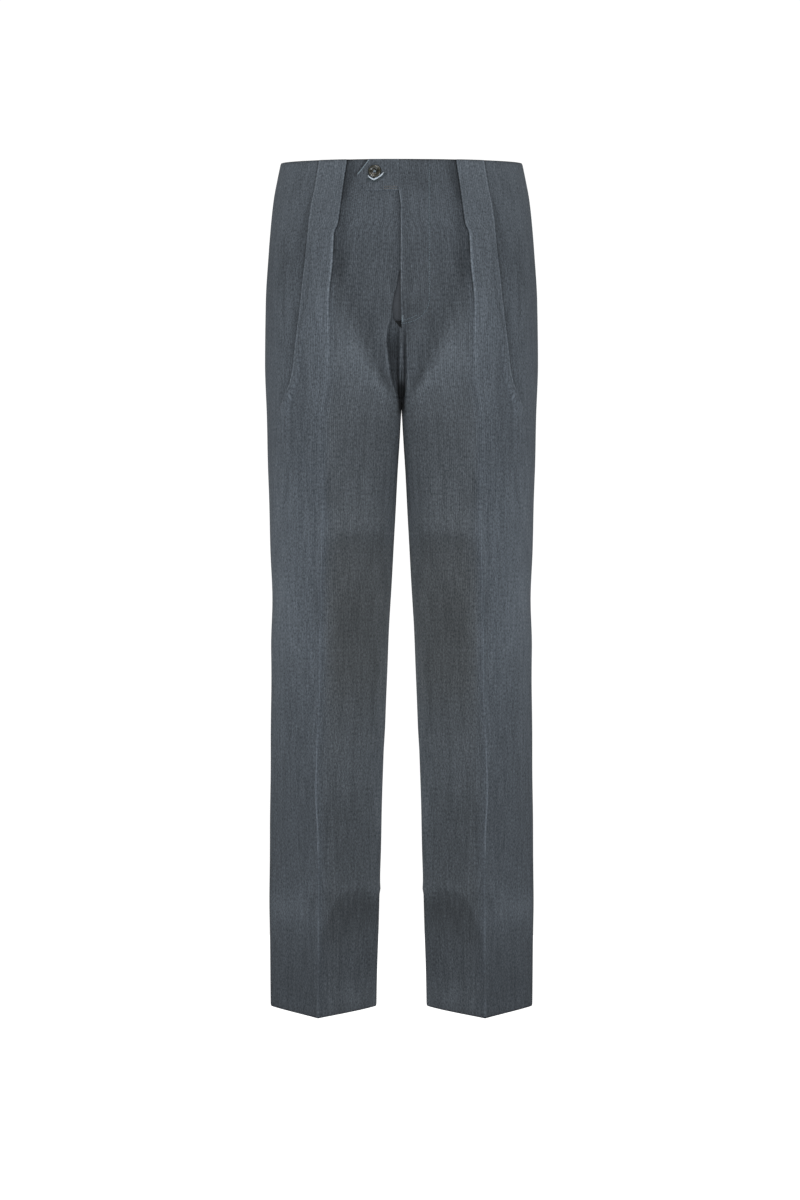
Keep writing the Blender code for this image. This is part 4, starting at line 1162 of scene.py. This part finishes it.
def stitches(name, s, depth, n, heading, length, thick, material):
    """Stitches centred at (s, depth) on the cloth: x = length/2 u along the heading, height
    thick (rise - dip u⁴) over it and radius thick √(1 - taper u⁴), u from -1 to 1. Headings are
    in degrees, from across towards down."""
    point, side, down, out = on_cloth(s, depth, n)
    turn = np.radians(np.broadcast_to(heading, np.shape(point)[:1]))[:, None]
    run = np.cos(turn) * side + np.sin(turn) * down
    u = np.linspace(-1, 1, STITCH_POINTS)[None, :, None]
    centre = point[:, None] + run[:, None] * u * length / 2
    centre = centre + out[:, None] * thick * (STITCH_RISE - STITCH_DIP * u**4)
    radius = thick * np.sqrt(1 - STITCH_TAPER * u.ravel() ** 4)
    up = np.broadcast_to(out[:, None], centre.shape)
    across = np.broadcast_to(np.cross(out, run)[:, None], centre.shape)
    return thread_mesh(name, centre, radius, (across, up), material)


TWIST = 0.38  # from one turn of the yarn to the next


def cotton_thread(name, shade):
    """Mercerised sewing thread: smooth and a little shiny, with a fine twist in its tone."""
    made, tree, output = new_material(name)
    place = node(tree, "TexCoord").outputs["Object"]
    twist = node(tree, "TexNoise", {"Vector": place, "Scale": 1 / (TWIST * MM), "Detail": 1.0})
    tone = node(tree, "MapRange", {
        "Value": twist.outputs["Fac"], "From Min": 0.3, "From Max": 0.7,
        "To Min": 0.75, "To Max": 1.2,
    })
    dyed = node(tree, "VectorMath", {0: linear(shade)[:3], "Scale": tone.outputs[0]}, operation="SCALE")
    surface = node(tree, "BsdfPrincipled", {
        "Base Color": dyed.outputs[0], "Roughness": 0.5,
        "Sheen Weight": 0.2, "Sheen Roughness": 0.4,
    })
    tree.links.new(surface.outputs["BSDF"], output.inputs["Surface"])
    return made


teal_thread = cotton_thread("teal grey thread", "#62727a")
pale_thread = cotton_thread("pale blue thread", "#bac5cd")
grey_thread = cotton_thread("blue grey thread", "#76838b")
tan_thread = cotton_thread("tan tacking thread", "#6c665c")
dark_thread = cotton_thread("dark teal thread", "#2b373d")

# The fly's topstitching runs straight down and turns in a quarter ellipse to the fly's foot,
# where a second row lies inside the first.
TOPSTITCH_X, TOPSTITCH_TOP, TOPSTITCH_TURN, TOPSTITCH_FOOT = 33.2, 5.0, 186.0, 216.0
TOPSTITCH_PITCH, TOPSTITCH_LENGTH, TOPSTITCH_THICK = 2.9, 2.2, 0.3
SECOND_ROW, SECOND_FROM = 4.2, 50.0  # how far in, and from which part of the turn
TURN_POINTS = 200


def topstitch(inset, first_turn):
    """Places and headings of the fly's row of stitches, moved inwards by an inset: along
    (a cos v, b sin v) from the first turn of v, and for a whole row down to it first."""
    turn = np.radians(np.linspace(first_turn, 90, TURN_POINTS))
    wide, tall = TOPSTITCH_X - inset, TOPSTITCH_FOOT - TOPSTITCH_TURN - inset
    x = wide * np.cos(turn)
    depth = TOPSTITCH_TURN + tall * np.sin(turn)
    if first_turn == 0:
        x, depth = np.append(x[0], x), np.append(TOPSTITCH_TOP, depth)
    along = np.append(0, np.cumsum(np.hypot(np.diff(x), np.diff(depth))))
    centre = np.arange(TOPSTITCH_PITCH / 2, along[-1], TOPSTITCH_PITCH)
    before, after = (
        np.array([np.interp(centre + step, along, values) for values in (x, depth)])
        for step in (-1, 1)
    )
    run = after - before
    return *(before + run / 2), np.degrees(np.arctan2(run[1], run[0]))


rows = [topstitch(0.0, 0), topstitch(SECOND_ROW, SECOND_FROM)]
x, depth, heading = (np.concatenate(values) for values in zip(*rows))
lying = LAY * (1 - ease(depth, *LAP_CLOSING)) * (1 - ease(x, LAP_OVER, LAP_DOWN))
stitches("fly_topstitching", x, depth, lying, heading, TOPSTITCH_LENGTH, TOPSTITCH_THICK, teal_thread)

# The bar tack is close stitches across a short bar at the foot of the fly, which slant to and fro.
TACK_X, TACK_TOP, TACK_FOOT, TACK_PITCH = 1.2, 207.0, 214.0, 0.75
TACK_LENGTH, TACK_THICK, TACK_SLANT = 2.4, 0.3, 20.0
depth = np.arange(TACK_TOP, TACK_FOOT, TACK_PITCH)
lying = LAY * (1 - ease(depth, *LAP_CLOSING))
heading = TACK_SLANT * (-1) ** np.arange(len(depth))
stitches("fly_bar_tack", TACK_X, depth, lying, heading, TACK_LENGTH, TACK_THICK, grey_thread)

# Overcasting on the tab's slanted edge: slanting stitches over the edge, from its shoulder.
WHIP_PITCH, WHIP_LENGTH, WHIP_THICK, WHIP_IN = 1.0, 2.5, 0.34, 0.75
WHIP_SINK, WHIP_SLANT, WHIP_FROM, WHIP_TO = 0.15, 32.0, 0.03, 0.985
slant = math.hypot(TAB_TIP_X - TAB_SHOULDER_X, TAB_TIP_DEPTH)
share = np.arange(WHIP_FROM, WHIP_TO, WHIP_PITCH / slant)
s = -(TAB_SHOULDER_X + (TAB_TIP_X - TAB_SHOULDER_X) * share) + WHIP_IN
depth = (TAB_TIP_DEPTH - TAB_TIP_BLUNT) * share + WHIP_IN / 2
slope = math.degrees(math.atan2(TAB_TIP_DEPTH, TAB_SHOULDER_X - TAB_TIP_X))
lying, heading = LAY - WHIP_SINK, slope - WHIP_SLANT
stitches("tab_overcasting", s, depth, lying, heading, WHIP_LENGTH, WHIP_THICK, grey_thread)

# Two rows of tan stitches near the root of the tab's lower edge.
TAN_ROWS, TAN_FROM, TAN_TO = (39.4, 43.0), -20.5, -4.5
TAN_PITCH, TAN_LENGTH, TAN_THICK = 2.0, 1.8, 0.26
s = np.arange(TAN_FROM, TAN_TO, TAN_PITCH)
s, depth = (values.ravel() for values in np.meshgrid(s, TAN_ROWS))
stitches("tab_tan_stitches", s, depth, LAY, 0.0, TAN_LENGTH, TAN_THICK, tan_thread)

# ------------------------------------------------------------------------------------------
# The worked buttonhole: its lip of thick pale thread is pulled into a V under the button,
# with close stitches fanning out below it.
# ------------------------------------------------------------------------------------------
LIP = [  # x and down, from the button's middle
    (-8.2, 5.4), (-6.6, 7.9), (-4.2, 9.7), (-1.3, 11.9), (1.2, 10.5), (4.0, 8.2), (7.0, 6.0),
    (9.4, 3.2), (10.4, 1.0),
]
LIP_THICK, LIP_POINTS, LIP_FINE, LIP_ROUND, LIP_TAPER = 1.15, 60, 400, 31, (0.1, 0.4)
FAN_COUNT, FAN_LENGTH, FAN_THICK, FAN_SINK = 22, 4.6, 0.38, 0.1
FAN_FROM, FAN_TO, FAN_OUT = 0.12, 0.94, 0.62  # shares of the lip, and of a stitch's length


def lip_path(share):
    """The lip's line: places and headings at shares of it. Its corners are rounded by a moving
    mean, weighted (1 - cos)/2, of the straight lines between its points."""
    points = np.array(LIP).T
    fine, known = np.linspace(0, 1, LIP_FINE), np.linspace(0, 1, len(LIP))
    weights = np.hanning(LIP_ROUND) / np.hanning(LIP_ROUND).sum()
    lines = [np.pad(np.interp(fine, known, values), LIP_ROUND // 2, "edge") for values in points]
    lines = [np.convolve(values, weights, "valid") for values in lines]
    x, down = (np.interp(share, fine, values) for values in lines)
    run = [np.interp(share, fine, np.gradient(values)) for values in lines]
    return x, down, np.degrees(np.arctan2(run[1], run[0]))


# The lip is a thread along that line, thick in the middle: its radius is r sin(v)^p, with v from
# near 0 to near π.
x, down, heading = lip_path(np.linspace(0, 1, LIP_POINTS))
point, side, low, out = on_cloth(BUTTON_X + x, BUTTON_DEPTH + down, LAY)
turn = np.radians(heading)[:, None]
run = np.cos(turn) * side + np.sin(turn) * low
centre = (point + out * LIP_THICK / 2)[None]
end, power = LIP_TAPER
taper = LIP_THICK * np.sin(np.linspace(end, math.pi - end, LIP_POINTS)) ** power
thread_mesh("buttonhole_lip", centre, taper, (np.cross(out, run)[None], out[None]), pale_thread)

# The fan's stitches point away from the button's middle, from the lip outwards.
x, down, heading = lip_path(np.linspace(FAN_FROM, FAN_TO, FAN_COUNT))
turn = np.arctan2(down, x)
s = BUTTON_X + x + FAN_LENGTH * FAN_OUT * np.cos(turn)
depth = BUTTON_DEPTH + down + FAN_LENGTH * FAN_OUT * np.sin(turn)
lying, heading = LAY - FAN_SINK, np.degrees(turn)
stitches("buttonhole_fan", s, depth, lying, heading, FAN_LENGTH, FAN_THICK, dark_thread)

# ------------------------------------------------------------------------------------------
# The button: four holes, turned from dark horn and polished, 16 mm across, sewn on with
# pale thread. It has a raised rim round a dished middle.
# ------------------------------------------------------------------------------------------
BUTTON_RADIUS, BUTTON_THICK = 8.0, 2.9
HOLE_RADIUS, HOLE_FROM_MIDDLE, HOLE_DEEP, HOLE_EDGE = 0.85, 1.8, 1.2, (-0.2, 0.1)
HOLE_TURNS = (45, 135, 225, 315)
BUTTON_PROFILE = [  # radius and height, as shares of the button's own
    (0.01, 0.62), (0.30, 0.62), (0.50, 0.66), (0.60, 0.80), (0.68, 0.95), (0.75, 1.0),
    (0.85, 1.0), (0.95, 0.88), (1.0, 0.60), (0.985, 0.38), (0.92, 0.16), (0.72, 0.0), (0.02, 0.0),
]
BUTTON_SIDES, BUTTON_STEPS = 128, (26, 4, 3, 3, 3, 3, 3, 3, 3, 3, 3, 3)
BUTTON_TOP = 8  # the profile's steps that are on top

# Horn: nearly black in the dished middle, browner on the rim where the light comes through,
# with pale streaks along its grain, and dark at its thin edge. It is polished and clear on top.
HORN_GRAIN, HORN_GRAIN_TURN = (3.8, 1.1), 0.6
HORN_BROWN, HORN_THIN = (4.4, 6.2), (6.7, 7.7)  # the radii over which each comes in
horn, tree, output = new_material("polished dark horn")
place = node(tree, "UVMap", uv_map="disc").outputs["UV"]
grain = node(tree, "Mapping", {
    "Vector": place, "Rotation": (0, 0, HORN_GRAIN_TURN), "Scale": scale_of(*HORN_GRAIN),
})
streak = node(tree, "TexNoise", {
    "Vector": grain.outputs[0], "Scale": 1.0, "Detail": 4.0, "Distortion": 1.2,
})
figure = node(tree, "MapRange", {
    "Value": streak.outputs["Fac"], "From Min": 0.5, "From Max": 0.75, "To Max": 0.5,
})
radius = node(tree, "VectorMath", {0: place}, operation="LENGTH").outputs["Value"]
brown, thin = (
    node(tree, "MapRange", {"Value": radius, "From Min": begins * MM, "From Max": whole * MM})
    for begins, whole in (HORN_BROWN, HORN_THIN)
)
colour = linear("#15160f")
for share, shade in ((brown, "#35342a"), (figure, "#7a755c"), (thin, "#0d0f0c")):
    mixed = node(tree, "Mix", {
        "Factor": share.outputs[0], "A": colour, "B": linear(shade),
    }, data_type="RGBA")
    colour = mixed.outputs["Result"]
surface = node(tree, "BsdfPrincipled", {
    "Base Color": colour, "Roughness": 0.2, "IOR": 1.55,
    "Coat Weight": 0.5, "Coat Roughness": 0.08,
})
tree.links.new(surface.outputs["BSDF"], output.inputs["Surface"])

# A lathe's surface: radius and height by the profile, sunk where it is within a hole's radius.
profile = np.array(BUTTON_PROFILE)
known = np.concatenate([[0], np.cumsum(BUTTON_STEPS)])
r, rise = (np.interp(np.arange(known[-1] + 1), known, profile[:, i]) for i in (0, 1))
turn = np.linspace(0, 2 * math.pi, BUTTON_SIDES, endpoint=False)
x, y = (BUTTON_RADIUS * r[:, None] * wave(turn) for wave in (np.cos, np.sin))
z = np.broadcast_to(BUTTON_THICK * rise[:, None], x.shape).copy()
holes, top = np.radians(HOLE_TURNS), (np.arange(len(r)) < known[BUTTON_TOP])[:, None]
for angle in holes:
    gap = np.hypot(x - HOLE_FROM_MIDDLE * np.cos(angle), y - HOLE_FROM_MIDDLE * np.sin(angle))
    z -= top * HOLE_DEEP * (1 - ease(gap - HOLE_RADIUS, *HOLE_EDGE))
point, side, down, out = on_cloth([BUTTON_X], BUTTON_DEPTH, LAY + SEAM_GAP)
axes = np.stack([side[0], -down[0], out[0]])
local = np.stack([x, y, z], axis=-1).reshape(-1, 3)
index = np.arange(x.size).reshape(x.shape)
after = np.roll(index, -1, axis=1)
faces = np.stack([index[:-1], index[1:], after[1:], after[:-1]], axis=-1).reshape(-1, 4).tolist()
faces += [index[0].tolist(), index[-1][::-1].tolist()]
button = mesh_object("button_horn", (local @ axes + point[0]) * MM, faces, horn)
add_map(button, "disc", local[:, :2])
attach(button, "root")
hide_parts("button")

# Two crossed bars of thread, each of three strands, between opposite holes. With u from -1 to 1
# along a bar, it arches by a(1 - u²) and goes down its holes by b u⁸.
BAR_THICK, BAR_REACH, BAR_ARCH, BAR_DOWN, BAR_POINTS = 0.24, 2.1, 0.35, 1.4, 15
STRANDS = np.array([-0.42, 0.0, 0.42])[:, None, None]
u = np.linspace(-1, 1, BAR_POINTS)[None, :, None]
floor = BUTTON_THICK * BUTTON_PROFILE[0][1]
height = floor + BAR_THICK + BAR_ARCH * (1 - u**2) - BAR_DOWN * u**8
bars, sides = [], []
for angle in holes[:2]:
    run = np.array([math.cos(angle), math.sin(angle), 0])
    off = np.array([-math.sin(angle), math.cos(angle), 0])
    bars.append(BAR_REACH * u * run + STRANDS * off + height * np.array([0, 0, 1]))
    sides.append(np.broadcast_to(-off @ axes, bars[-1].shape))
centre = np.concatenate(bars) @ axes + point[0]
around = (np.concatenate(sides), np.broadcast_to(axes[2], centre.shape))
thread_mesh("button_thread", centre, np.full(BAR_POINTS, BAR_THICK), around, grey_thread)

# The sizes of the solids and of these pieces, side by side.
size = {"cad": cad_box, "visual": [list(corner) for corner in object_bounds()]}
